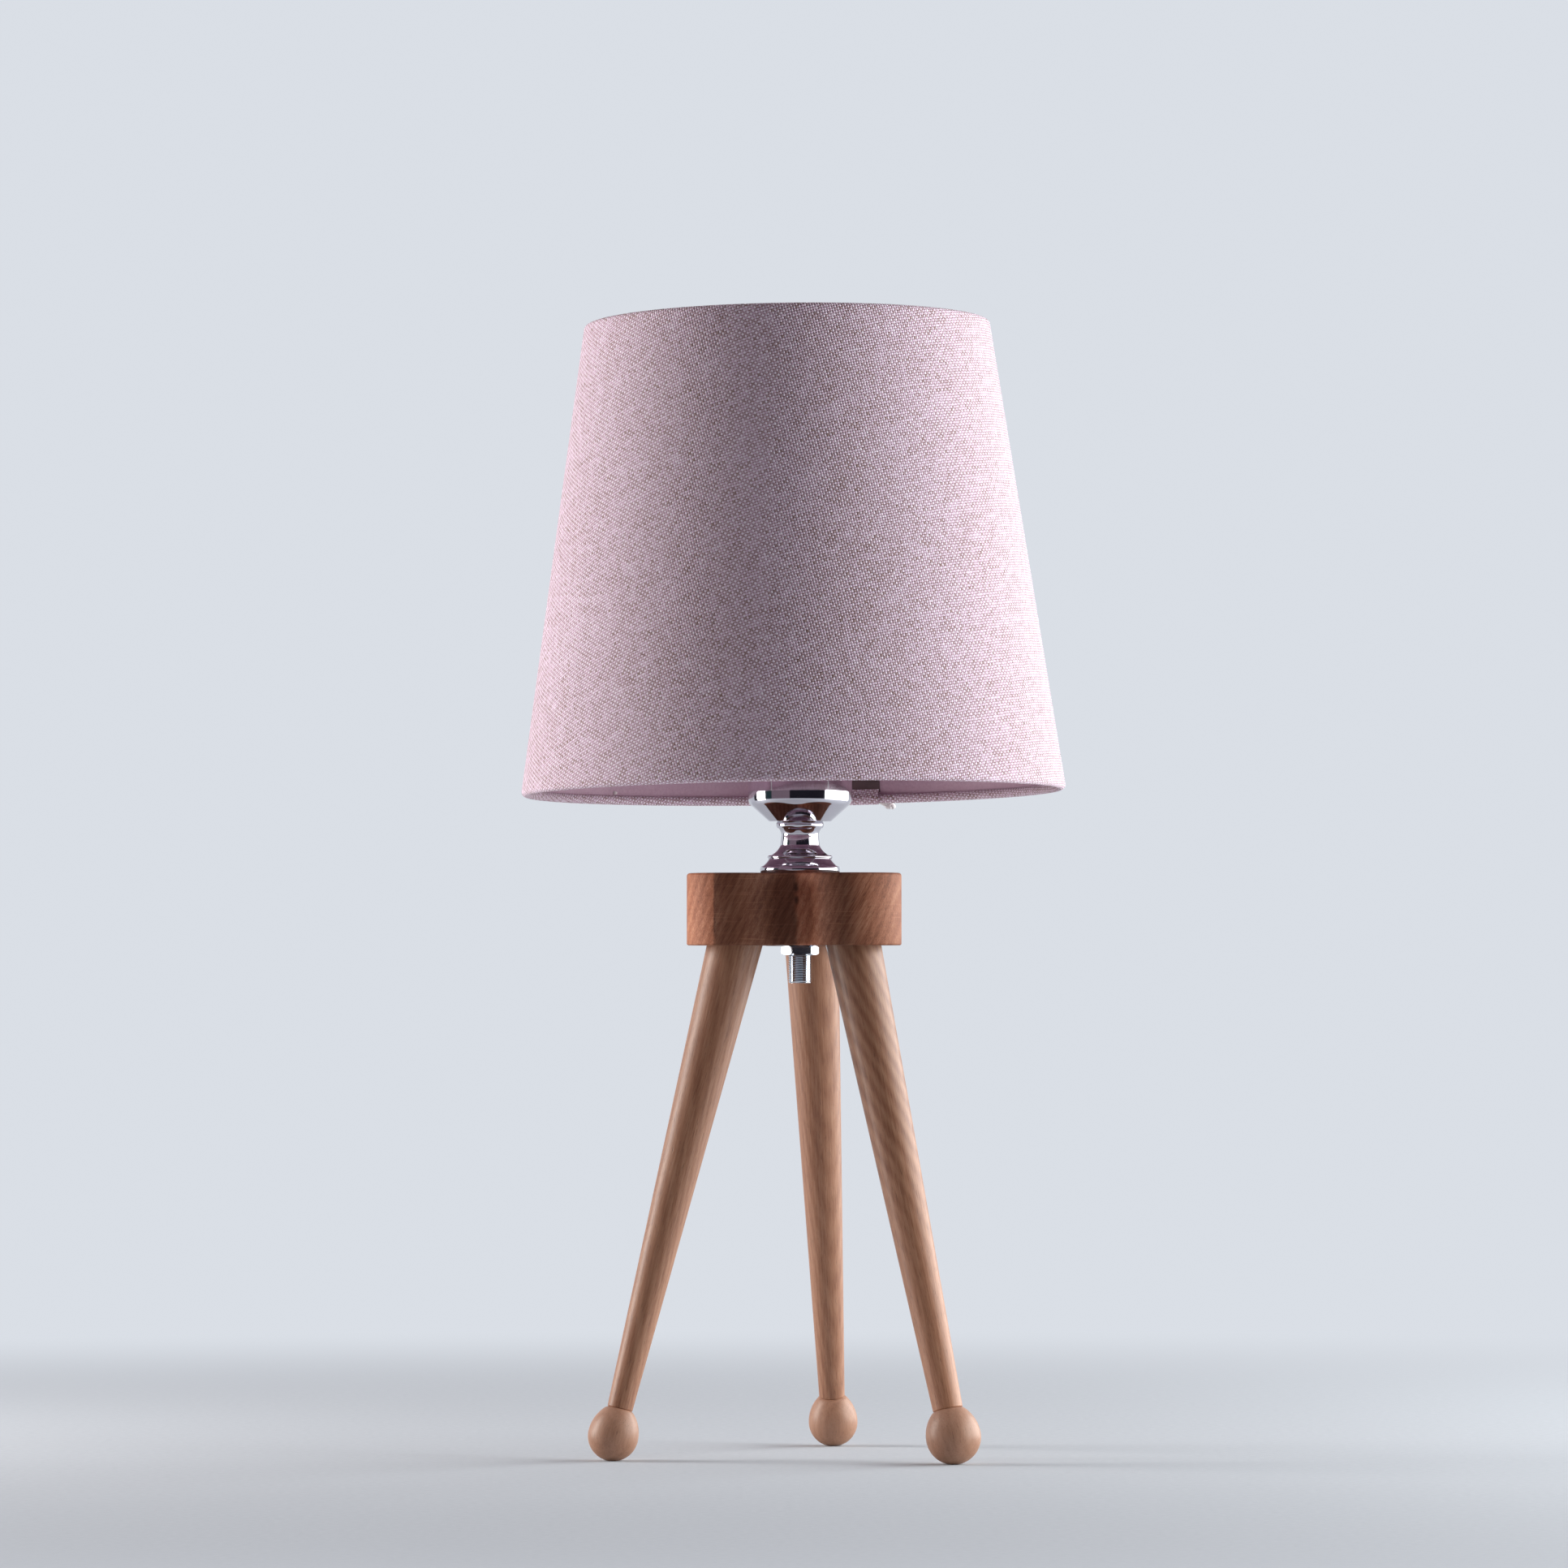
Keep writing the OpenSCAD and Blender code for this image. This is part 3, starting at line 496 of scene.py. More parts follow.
def lining():
    """A mauve pressed backing with faint fibres."""
    shader = Shader("lining")
    place = shader.object_place()
    fibre = shader.noise(place, 900, 4, 0.7)
    cloud = shader.noise(place, 22, 3)
    level = shader.math("ADD", shader.math("MULTIPLY", fibre, 0.5), shader.math("MULTIPLY", cloud, 0.5))
    colour = shader.ramp(level, [
        (0.25, (0.400, 0.235, 0.310)),
        (0.50, (0.540, 0.345, 0.440)),
        (0.80, (0.660, 0.470, 0.560)),
    ])
    return shader.finish(
        Base_Color=colour,
        Roughness=shader.range(cloud, 0, 1, 0.6, 0.85),
        Normal=shader.bump(fibre, 0.05 * mm, 0.6),
    )


# ---- Woods ----
# Growth rings: their width, their share of the tone, where the tree's heart lies, and how the grain leans.
leg_heart = (-0.046, -0.0386, 0)
leg_rings = (2.6 * mm, 0.06, leg_heart, (0.075, -0.09, 0))
bold_leg_rings = (4.4 * mm, 0.11, leg_heart, (-0.25, 0.30, 0))
foot_rings = (3.2 * mm, 0.04, (0.03, 0.02, 0), (0.1, 0.1, 0))
hub_rings = (3.4 * mm, 0.07, (0.02, 0.05, 0), (0.1, 0.2, 0))
dowel_rings = (2 * mm, 0.06, (0.01, 0.01, 0), (0, 0, 0))

# Dark, middle and light tones.
leg_tones = ((0.205, 0.076, 0.038), (0.352, 0.162, 0.090), (0.470, 0.250, 0.152))
foot_tones = ((0.300, 0.138, 0.078), (0.405, 0.206, 0.128), (0.500, 0.285, 0.188))
hub_tones = ((0.200, 0.062, 0.028), (0.390, 0.142, 0.074), (0.570, 0.268, 0.158))

# The hub's staves: the glued joint, the lean of the grain, and tones at places across the front, in mm. The
# tones are partly the wood's own, as the dark streak right of the middle, and partly painted light and shade:
# lighter left of the joint, where the left lobe faces the light, and darker from the joint to the middle,
# where the front lies in shade.
stave_joint = -36.7 * mm
stave_lean = math.radians(-32)
stave_and_painted_light_tones = (
    (-50.0, 1.0), (-36.8, 1.0), (-36.6, 0.42), (-8.0, 0.42), (-2.6, 0.40), (-0.6, 1.0),
    (5.0, 1.0), (11.0, 0.56), (18.5, 0.34), (24.0, 0.52), (31.0, 0.64), (50.0, 0.72),
)

# Knots on the hub's front: place across, height and size.
knot_y = -24 * mm
knots = (
    (-1.8 * mm, 244.6 * mm, 1.5 * mm),
    (-1.6 * mm, 239.4 * mm, 1.4 * mm),
    (15.5 * mm, 228.0 * mm, 0.8 * mm),
    (30.5 * mm, 223.8 * mm, 1.1 * mm),
)


def wood_level(shader, place, rings, contrast=1.0, broad_share=0.30):
    """Straight grain and soft growth bands as a level round a half, its streaks, and the share of pores."""
    ring_gap, ring_share, heart, lean = rings
    bend = shader.drawn_noise(place, 0.15, 40)
    leaned = shader.node("Mapping", {"Vector": place, "Location": heart, "Rotation": lean})
    from_heart = shader.vector("LENGTH", shader.vector("MULTIPLY", leaned, (1, 1, 0)), out=1)
    band_turn = shader.math("MULTIPLY", from_heart, full_turn / ring_gap)
    band = shader.math("SINE", shader.math("MULTIPLY_ADD", bend, 9, band_turn))
    streak = shader.drawn_noise(place, 0.035, 1300, 3, 0.6)
    fibre = shader.drawn_noise(place, 0.06, 4200, 2, 0.6)
    broad = shader.drawn_noise(place, 0.12, 110, 2)
    pore = shader.range(shader.drawn_noise(place, 0.07, 3000, 1), 0.64, 0.74, 0, 1)
    level = shader.swing(0.5, streak, 0.60 * contrast)
    level = shader.swing(level, fibre, 0.42 * contrast)
    level = shader.math("MULTIPLY_ADD", band, ring_share, level)
    level = shader.swing(level, broad, broad_share)
    return level, streak, pore


def wood_surface(shader, colour, streak, pore, rough=0.48, shine=0.4, coat=0.12):
    """A satin finish over the grain's slight relief."""
    return shader.finish(
        Base_Color=colour,
        Roughness=shader.range(streak, 0, 1, rough - 0.1, rough + 0.1),
        Normal=shader.bump(shader.math("SUBTRACT", streak, pore), 0.06 * mm, 0.6),
        Specular_IOR_Level=shine,
        Coat_Weight=coat,
        Coat_Roughness=0.3,
    )


def turned_wood(name, tones, rings, contrast=1.0, painted_light_ends=None, bands=None):
    """Wood whose grain runs along its own piece.

    A leg's tone is scaled from the first of its two end values below to the second above: painted light and
    shade, darker towards the hub and lighter towards the foot. The growth bands reach their share between the
    two heights of bands, and are faint below them.
    """
    shader = Shader(name)
    dark, middle, light = tones
    place = shader.grain_place()
    up = shader.part(place, 2)
    if bands:
        gap, share, heart, lean = rings
        rings = (gap, shader.range(up, *bands, 0.01, share), heart, lean)
    level, streak, pore = wood_level(shader, place, rings, contrast)
    colour = shader.ramp(level, [(0.22, dark), (0.50, middle), (0.80, light)])
    colour = shader.mix(shader.math("MULTIPLY", pore, 0.5), colour, shaded(dark, 0.4))
    # Painted light and shade: the leg's colour darker towards the hub above and lighter towards the foot.
    if painted_light_ends:
        colour = shader.mix(1.0, colour, shader.range(up, -leg_axis_l, 0, *painted_light_ends), "MULTIPLY")
    return wood_surface(shader, colour, streak, pore)


def stave_and_painted_light_tone(shader, grain, right_of_joint):
    """The tones across the hub's front, partly the staves' own and partly painted light and shade, whose
    borders waver right of the glued joint.
    """
    first, last = stave_and_painted_light_tones[0][0], stave_and_painted_light_tones[-1][0]
    waver = shader.math("MULTIPLY_ADD", shader.noise(grain, 90, 2), 3 * mm, -1.5 * mm)
    wavered = shader.math("MULTIPLY_ADD", waver, right_of_joint, shader.part(grain, 0))
    share = shader.range(wavered, first * mm, last * mm, 0, 1)
    return shader.ramp(share, [((x - first) / (last - first), (tone,) * 3) for x, tone in stave_and_painted_light_tones])


def glue_line(shader, grain):
    """The dark line of the glued joint, uneven, and fainter towards the hub's top."""
    from_joint = shader.math("SUBTRACT", shader.part(grain, 0), stave_joint)
    near = shader.range(shader.math("ABSOLUTE", from_joint), 0.15 * mm, 0.6 * mm, 1, 0)
    uneven = shader.range(shader.noise(grain, 260, 3), 0.3, 0.7, 0.2, 1)
    lower = shader.range(shader.part(grain, 2), hub_low, hub_high, 1.2, 0.5)
    return shader.math("MULTIPLY", shader.math("MULTIPLY", near, uneven), lower)


def knot_stain(shader, grain, x, z, size):
    """How strongly a knot darkens the wood round it."""
    offset = shader.vector("SUBTRACT", grain, (x, knot_y, z))
    offset = shader.vector("MULTIPLY", offset, (1, 0.12, 0.5))
    return shader.range(shader.vector("LENGTH", offset, out=1), 0.3 * size, size, 0.85, 0)


def saw_line(shader, grain):
    """Faint level lines that the saw left."""
    saw = shader.noise(shader.vector("MULTIPLY", grain, (0.03, 0.03, 1)), 1400, 2)
    return shader.range(saw, 0.60, 0.72, 0, 0.16)


def glued_wood(name, tones):
    """The hub's block, glued from upright staves, with tones across its front that are partly the wood's own
    and partly painted light and shade, slanting grain and four knots.
    """
    shader = Shader(name)
    dark, middle, light = tones
    grain = shader.grain_place()
    right_of_joint = shader.math("GREATER_THAN", shader.part(grain, 0), stave_joint)
    shift = shader.node("CombineXYZ", {0: shader.math("MULTIPLY", right_of_joint, 0.31)})
    moved = shader.vector("ADD", grain, shift)
    place = shader.node("Mapping", {"Vector": moved, "Rotation": (0, stave_lean, 0)})
    level, streak, pore = wood_level(shader, place, hub_rings, 1.25, 0.55)
    colour = shader.ramp(level, [(0.20, dark), (0.50, middle), (0.82, light)])
    # The staves' own tones, with painted light left of the joint and painted shade on the front.
    colour = shader.mix(1.0, colour, stave_and_painted_light_tone(shader, grain, right_of_joint), "MULTIPLY")
    colour = shader.mix(glue_line(shader, grain), colour, shaded(dark, 0.22))
    for knot in knots:
        colour = shader.mix(knot_stain(shader, grain, *knot), colour, shaded(dark, 0.2))
    colour = shader.mix(saw_line(shader, grain), colour, light)
    colour = shader.mix(shader.math("MULTIPLY", pore, 0.7), colour, shaded(dark, 0.3))
    return wood_surface(shader, colour, streak, pore, rough=0.62, shine=0.2, coat=0.0)


def peg_wood():
    """Plain pale wood for the dowels."""
    shader = Shader("dowel_wood")
    level, streak, pore = wood_level(shader, shader.object_place(), dowel_rings)
    colour = shader.ramp(level, [(0.3, (0.45, 0.30, 0.17)), (0.7, (0.74, 0.58, 0.38))])
    return wood_surface(shader, colour, streak, pore)


# ---- Metals, plastics and glass ----
# Colour, lowest and highest roughness, and strength of the scratches.
metal_looks = {
    "chrome": ((0.61, 0.585, 0.635), 0.04, 0.09, 0.0),
    "zinc": ((0.62, 0.65, 0.70), 0.1, 0.22, 0.15),
    "brass": ((0.78, 0.56, 0.25), 0.2, 0.4, 0.2),
}

# Colour, roughness, depth of the skin's texture, and how dark the uneven places get.
moulded_looks = {
    "holder_plastic": ((0.84, 0.82, 0.77), 0.38, 0.04 * mm, 0.9),
    "frame_white": ((0.86, 0.85, 0.83), 0.3, 0.08 * mm, 0.9),
    "bulb_white": ((0.88, 0.87, 0.85), 0.35, 0.04 * mm, 0.9),
    "bulb_opal": ((0.90, 0.88, 0.82), 0.22, 0.01 * mm, 0.97),
    "bulb_black": ((0.02, 0.02, 0.025), 0.15, 0.04 * mm, 0.9),
    "board_green": ((0.05, 0.19, 0.08), 0.45, 0.04 * mm, 0.9),
    # The dark strip inside along the seam.
    "dark_seam_strip": ((0.17, 0.105, 0.110), 0.7, 0.2 * mm, 0.6),
    "glue": ((0.86, 0.80, 0.80), 0.5, 0.15 * mm, 0.85),
}


def metal(name, colour, rough_low, rough_high, scratches):
    """A polished or plated metal with faint smears and fine scratches."""
    shader = Shader(name)
    place = shader.object_place()
    smear = shader.noise(place, 60, 4, 0.65)
    scratch = shader.drawn_noise(place, 14, 700, 2)
    spot = shader.math("MULTIPLY_ADD", scratch, 0.4, shader.math("MULTIPLY", smear, 0.6))
    return shader.finish(
        Base_Color=shader.ramp(smear, [(0.3, shaded(colour, 0.94)), (0.7, colour)]),
        Metallic=1.0,
        Roughness=shader.range(spot, 0.3, 0.7, rough_low, rough_high),
        Normal=shader.bump(scratch, 0.01 * mm, scratches),
    )


def moulded(name, colour, rough, texture, shade):
    """Moulded plastic, enamel or glass with a fine skin and a little unevenness."""
    shader = Shader(name)
    place = shader.object_place()
    skin = shader.noise(place, 2200, 2)
    cloud = shader.noise(place, 70, 3)
    return shader.finish(
        Base_Color=shader.ramp(cloud, [(0.3, shaded(colour, shade)), (0.7, colour)]),
        Roughness=shader.range(skin, 0.3, 0.7, rough * 0.85, rough * 1.15),
        Normal=shader.bump(skin, texture, 0.4),
    )


finishes = {
    # The legs' two end values paint shade near the hub and light near the foot.
    "leg_wood": turned_wood("leg_wood", leg_tones, leg_rings, painted_light_ends=(1.05, 0.87)),
    "bold_leg_wood": turned_wood(
        "bold_leg_wood", leg_tones, bold_leg_rings, painted_light_ends=(1.30, 0.72), bands=(-150 * mm, -90 * mm)
    ),
    "foot_wood": turned_wood("foot_wood", foot_tones, foot_rings, contrast=0.8),
    "hub_wood": glued_wood("hub_wood", hub_tones),
    "dowel_wood": peg_wood(),
    "linen": linen(),
    "lining": lining(),
}
finishes.update({name: metal(name, *look) for name, look in metal_looks.items()})
finishes.update({name: moulded(name, *look) for name, look in moulded_looks.items()})
finishes["hem_linen"] = finishes["linen"]

# Every CAD node that stays in view takes the finish of its slot.
for part in frame["record"]["subparts"]:
    nodes[part["node"]].data.materials.clear()
    nodes[part["node"]].data.materials.append(finishes[part["material_slot"]])


def place(piece, body, slot, *replaced):
    """Lets a piece ride on a body and stand for CAD nodes, which are hidden. The slot is not used."""
    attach(piece, body)
    if replaced:
        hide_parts(*replaced)


# ---- Hub ----
def arc(centre, radius, start, sweep, step=math.radians(4)):
    """Level points along an arc, without its last point."""
    count = math.ceil(abs(sweep) / step)
    return [centre + direction(start + sweep * i / count) * radius for i in range(count)]


def hub_ring(inset):
    """The trefoil outline moved inward, as lobe arcs joined smoothly by valley arcs."""
    sixth = math.pi / 3
    valley_pitch = (lobe_pitch + math.sqrt(4 * (lobe_r + valley_r) ** 2 - 3 * lobe_pitch**2)) / 2
    swing = math.atan2(valley_pitch * math.sin(sixth), valley_pitch * math.cos(sixth) - lobe_pitch)
    dip = swing - sixth
    ring = []
    for k in range(3):
        turn = back_leg_turn + full_turn / 3 * k
        ring += arc(direction(turn) * lobe_pitch, lobe_r - inset, turn - swing, 2 * swing)
        turn += sixth
        ring += arc(direction(turn) * valley_pitch, valley_r + inset, turn + math.pi + dip, -2 * dip)
    return ring


def leg_frame(i):
    """A leg's own frame: its origin on the leg's axis at the hub's underside, and +Z up the leg."""
    return (
        Matrix.Rotation(leg_turns[i], 4, "Z")
        @ Matrix.Translation((lobe_pitch, 0, hub_low))
        @ Matrix.Rotation(-leg_splay, 4, "Y")
    )


def hole(name, radius, bottom, top, pose=None):
    """A cylinder to be cut out of the hub."""
    outline = [(0, bottom), (radius, bottom), (radius, top), (0, top)]
    return turned(name, outline, finishes["hub_wood"], pose, columns=72)


def cut_away(piece, cutters):
    """Takes the cutters' shapes out of a piece, and clears the slivers that this leaves."""
    for cutter in cutters:
        cut = piece.modifiers.new("cut", "BOOLEAN")
        cut.operation = "DIFFERENCE"
        cut.solver = "EXACT"
        cut.object = cutter
    bpy.context.view_layer.update()
    shown = piece.evaluated_get(bpy.context.evaluated_depsgraph_get())
    mesh = bpy.data.meshes.new_from_object(shown)
    piece.modifiers.clear()
    piece.data = mesh
    for cutter in cutters:
        bpy.data.objects.remove(cutter)
    clean_mesh(mesh, merge=2 * um, thin=1 * um)
    smooth(mesh)
    keep_grain(mesh)


def make_hub():
    """The three-lobed block with rounded edges, and its holes for the stem, the washer and the tenons."""
    quarter = [math.pi / 2 * i / 6 for i in range(7)]
    rows = [
        (hub_bottom_round * (1 - math.sin(a)), hub_low + hub_bottom_round * (1 - math.cos(a)))
        for a in quarter
    ]
    rows += [
        (hub_top_round * (1 - math.cos(a)), hub_high - hub_top_round * (1 - math.sin(a))) for a in quarter
    ]
    rings = [[(p.x, p.y, z) for p in hub_ring(inset)] for inset, z in rows]
    columns = len(rings[0])
    faces = grid(len(rings), columns)
    faces.append(tuple(reversed(range(columns))))
    faces.append(tuple((len(rings) - 1) * columns + j for j in range(columns)))
    hub = add_mesh("trefoil_hub", sum(rings, []), faces, finishes["hub_wood"])
    over = 5 * mm
    cutters = [
        hole("stem_hole", stem_hole_r, hub_low - over, hub_high + over),
        hole("washer_recess", washer_r + 0.1 * mm, hub_low - over, hub_low + washer_t),
    ]
    for i in range(3):
        cutters.append(hole("tenon_hole", tenon_r + 0.1 * mm, -2 * tenon_r, tenon_l + 0.2 * mm, leg_frame(i)))
    cut_away(hub, cutters)
    place(hub, "stand", "hub_wood", "hub")


# ---- Legs and feet ----
def foot_down(i):
    """Distance down the leg's axis from the hub's underside to the foot's centre."""
    return (hub_low - foot_rs[i] + foot_flat) / math.cos(leg_splay)


def make_leg(i, columns=64, rows=40):
    """A tapered leg that ends level under the hub, with its tenon."""
    joint = foot_rise - foot_down(i)
    growth = (leg_top_r - ankle_rs[i]) / -joint
    start = joint + ankle_chamfer

    def outline_at(turn):
        slope = math.cos(turn) * math.tan(leg_splay)
        top = -leg_top_r * slope / (1 + growth * slope)
        heights = [start + (top - start) * (k / rows) for k in range(rows)] + [top]
        return [
            (0, joint), (ankle_rs[i] - ankle_chamfer, joint),
            *((leg_top_r + growth * z, z) for z in heights),
            (tenon_r, -tenon_r * slope), (tenon_r, tenon_l - tenon_chamfer),
            (tenon_r - tenon_chamfer, tenon_l), (0, tenon_l),
        ]

    points = swept(outline_at, even_turns(columns))
    faces = grid(len(points) // columns, columns)
    name = leg_names[i]
    wood = finishes["bold_leg_wood" if name == "right" else "leg_wood"]
    leg = add_mesh(f"turned_leg_{name}", points, faces, wood, leg_frame(i), sharp=30)
    place(leg, "stand", "leg_wood", f"leg_{name}")


def make_foot(i):
    """An egg: a round below with a small flat, and a flatter arc from its widest line up to the joint."""
    r, ankle = foot_rs[i], ankle_rs[i]
    step = r - ankle
    arc_r = (step * step + foot_rise * foot_rise) / (2 * step)
    arc_turn = math.asin(foot_rise / arc_r)
    outline = [(r * math.sin(a), -r * math.cos(a)) for a in np.linspace(0, math.pi / 2, 28)]
    for a in np.linspace(0, arc_turn, 20)[1:]:
        outline.append((r - arc_r * (1 - math.cos(a)), arc_r * math.sin(a)))
    outline[-1] = (outline[-1][0] + 0.05 * mm, outline[-1][1] - 0.25 * mm)
    outline += [(ankle - ankle_chamfer, foot_rise), (0, foot_rise)]
    pose = leg_frame(i) @ Matrix.Translation((0, 0, -foot_down(i)))
    name = leg_names[i]
    foot = turned(f"egg_foot_{name}", outline, finishes["foot_wood"], pose, columns=72)
    for vertex in foot.data.vertices:
        vertex.co.z = max(vertex.co.z, 0)
    place(foot, "stand", "foot_wood", f"foot_{name}")


# ---- Stem and nuts ----
def make_nut(name, node, turn):
    """A hexagon nut with chamfered corners and a chamfered hole. One of its corners stands at the turn."""
    bottom, height = low(node).z, high(node).z - low(node).z
    hole_r, chamfer, columns = stem_r + 0.1 * mm, 0.4 * mm, 96
    flat_r = nut_flat / 2
    face_r = flat_r * 0.955
    corner_slope = math.tan(math.radians(30))
    sixth = math.pi / 3

    def outline_at(at):
        corner = flat_r / math.cos((at - turn) % sixth - sixth / 2)
        drop = (corner - face_r) * corner_slope
        lower = [(hole_r, chamfer), (hole_r + chamfer, 0), (face_r, 0), (corner, drop)]
        upper = [(r, height - z) for r, z in reversed(lower)]
        return [(r, bottom + z) for r, z in lower + upper]

    points = swept(outline_at, [at + turn for at in even_turns(columns)])
    nut = add_mesh(name, points, grid(8, columns, wrap_rows=True), finishes["zinc"], sharp=25)
    place(nut, "stand", "zinc", node)


def make_stem():
    """The hollow threaded stem with its two nuts."""
    teeth = (0, 0.25, 0.75, 1, 0.75, 0.25)
    stem = threaded(
        "threaded_stem", finishes["zinc"], stem_r, stem_bore_r, stem_low, stem_high,
        pitch=1.0 * mm, depth=0.55 * mm, teeth=teeth,
    )
    place(stem, "stand", "zinc", "stem")
    make_nut("bottom_hex_nut", "bottom_nut", nut_turn)
    make_nut("lock_hex_nut", "lock_nut", 0)


# ---- Chrome neck and cup ----
def make_neck():
    """Band, flare, bead, hollow flare, waist, hollow throat and top bead, in one turned piece."""
    base_r, bead_r, waist_r, top_r = 17.3 * mm, 14.1 * mm, 8.5 * mm, 10.3 * mm
    waist_top_r = waist_r - 0.42 * mm
    heights = np.cumsum([0, 3.2, 3.2, 1.4, 4.5, 4.4, 2.9, 2.9]) * mm
    z0, z1, z2, z3, z4, z5, z6, z7 = (hub_high + h for h in heights)
    edge, step, hair = 0.5 * mm, 0.9 * mm, 0.01 * mm
    outline = [(stem_hole_r, z0)]
    outline += bowed((base_r - edge, z0), (base_r - edge, z1), edge)
    outline += bowed((base_r - step, z1), (bead_r - edge, z2), -0.35 * mm)
    outline += bowed((bead_r - edge + 2 * hair, z2), (bead_r - edge, z3), edge)
    outline += bowed((bead_r - step, z3), (waist_r, z4), -0.75 * mm, 16)
    outline += bowed((waist_r, z4 + hair), (waist_top_r, z5), 0.03 * mm)
    outline += bowed((waist_top_r, z5 + hair), (top_r - step, z6), -0.25 * mm)
    outline += bowed((top_r - edge, z6), (top_r - edge, z7), edge)
    outline.append((stem_hole_r, z7))
    neck = turned("chrome_neck", held(outline, True), finishes["chrome"], closed=True, columns=144, sharp=30)
    place(neck, "stand", "chrome", "neck")


def make_cup():
    """A spun bowl with a flat bottom, a cone, a round turn and an upright side."""
    bottom_r, slope, turn_r, wall = 13.4 * mm, math.radians(41), 4 * mm, 0.9 * mm
    side_draft, side_bend, rim_round, bottom_round = 0.2 * mm, 8 * mm, 0.4 * mm, 0.5 * mm
    corner_z = cup_low + (cup_r - bottom_r) * math.tan(slope)
    inner_corner = (cup_r - wall, corner_z + wall * math.tan((math.pi / 2 - slope) / 2))
    outline = filleted([
        (stem_hole_r, cup_low, 0),
        (bottom_r, cup_low, bottom_round),
        (cup_r - side_draft, corner_z, turn_r),
        (cup_r, corner_z + 5 * mm, side_bend),
        (cup_r, cup_high, rim_round),
        (cup_r - wall, cup_high, rim_round),
        (*inner_corner, turn_r - wall),
        (bottom_r - wall * math.tan(slope / 2), cup_low + wall, bottom_round),
        (stem_hole_r, cup_low + wall, 0),
    ], closed=True, step=math.radians(5))
    cup = turned("chrome_cup", outline, finishes["chrome"], closed=True, columns=160, sharp=30)
    place(cup, "stand", "chrome", "cup")


# ---- Lampholder and collar ----
def make_sleeve():
    """The holder's sleeve: a smooth barrel and flange, and above them a round-crested thread."""
    sleeve_low = low("holder_sleeve").z
    outline = filleted([
        (sleeve_bore_r, sleeve_low, 0),
        (sleeve_r, sleeve_low, 0.6 * mm),
        (sleeve_r, cup_high, 0.3 * mm),
        (cup_r, cup_high, 0.3 * mm),
        (cup_r, fitter_low, 0.4 * mm),
        (sleeve_r - 0.8 * mm, fitter_low, 0),
        (sleeve_bore_r, fitter_low, 0),
    ], closed=True)
    barrel = turned("holder_barrel", outline, finishes["holder_plastic"], closed=True, columns=128)
    place(barrel, "stand", "holder_plastic", "holder_sleeve")
    teeth = (0, 0.1, 0.5, 0.9, 1, 0.9, 0.5, 0.1)
    mouth = threaded(
        "holder_threaded_mouth", finishes["holder_plastic"], sleeve_r, sleeve_bore_r, fitter_low, mouth_z,
        pitch=2.5 * mm, depth=0.7 * mm, teeth=teeth, columns=96,
    )
    place(mouth, "stand", "holder_plastic")


def make_collar():
    """A flanged ring nut with hollows round its grip."""
    hollows = 24
    columns = hollows * 14
    z0, z1 = low("collar").z, high("collar").z
    flange_r, grip_r, hole_r = high("collar").x, 24 * mm, 20.1 * mm
    flange_t, hollow_r = 2.6 * mm, 1.3 * mm
    hollow_pitch, hollow_low = grip_r + 0.4 * mm, z0 + flange_t + 0.3 * mm
    outline = filleted([
        (hole_r, z0, 0.4 * mm),
        (flange_r, z0, 0.7 * mm),
        (flange_r, z0 + flange_t, 0.9 * mm),
        (grip_r, z0 + flange_t, 0.25 * mm),
        (grip_r, z1, 0.9 * mm),
        (hole_r, z1, 0.6 * mm),
    ], closed=True)

    def outline_at(turn):
        aside = (turn * hollows / full_turn) % 1 - 0.5
        offset = hollow_pitch * math.sin(aside * full_turn / hollows)
        if abs(offset) >= hollow_r:
            return outline
        hollow = hollow_pitch - math.sqrt(hollow_r**2 - offset**2)
        return [(min(r, hollow) if z > hollow_low else r, z) for r, z in outline]

    points = swept(outline_at, even_turns(columns))
    faces = grid(len(outline), columns, wrap_rows=True)
    collar = add_mesh("collar_ring_nut", points, faces, finishes["holder_plastic"])
    place(collar, "collar", "holder_plastic", "collar")


# ---- Fitter ----
def outer_r(z):
    """Radius of the shade's outside at a height of its own frame."""
    return shade_bottom_r - (shade_bottom_r - shade_top_r) * z / shade_h


def roll_centre(z):
    """Where a roll's centre lies in the shade's section, at a height."""
    return outer_r(z) - hem_r / math.cos(shade_slant), z


bottom_roll, top_roll = roll_centre(hem_r), roll_centre(shade_h - hem_r)


def on_shade(radius, turn, z):
    """A point of the shade's own frame, put in the lamp's."""
    return shade_pose @ Vector(polar(radius, turn, z))


def arm_end(turn):
    """Centre of an arm's outer end, beside the bottom roll."""
    return on_shade(bottom_roll[0] - hem_r - arm_r - 0.1 * mm, turn, hem_r)


def arm_path(turn):
    """An arm's centre line: level out of the ring, round a soft bend, and down to the bottom roll."""
    way, level = direction(turn), Vector((0, 0, fitter_low - arm_r))
    start_r, level_run, bend_share, bend_rows = fitter_r - arm_r, 9 * mm, 0.8, 10
    bend = way * (start_r + level_run) + level
    end = arm_end(turn)
    before = bend - way * (level_run * bend_share)
    after = bend + (end - bend).normalized() * (level_run * bend_share)
    path = [way * start_r + level]
    for i in range(bend_rows + 1):
        t = i / bend_rows
        path.append(before * (1 - t) ** 2 + bend * 2 * t * (1 - t) + after * t**2)
    return path + [after.lerp(end, t) for t in (0.25, 0.5, 0.75, 1)]


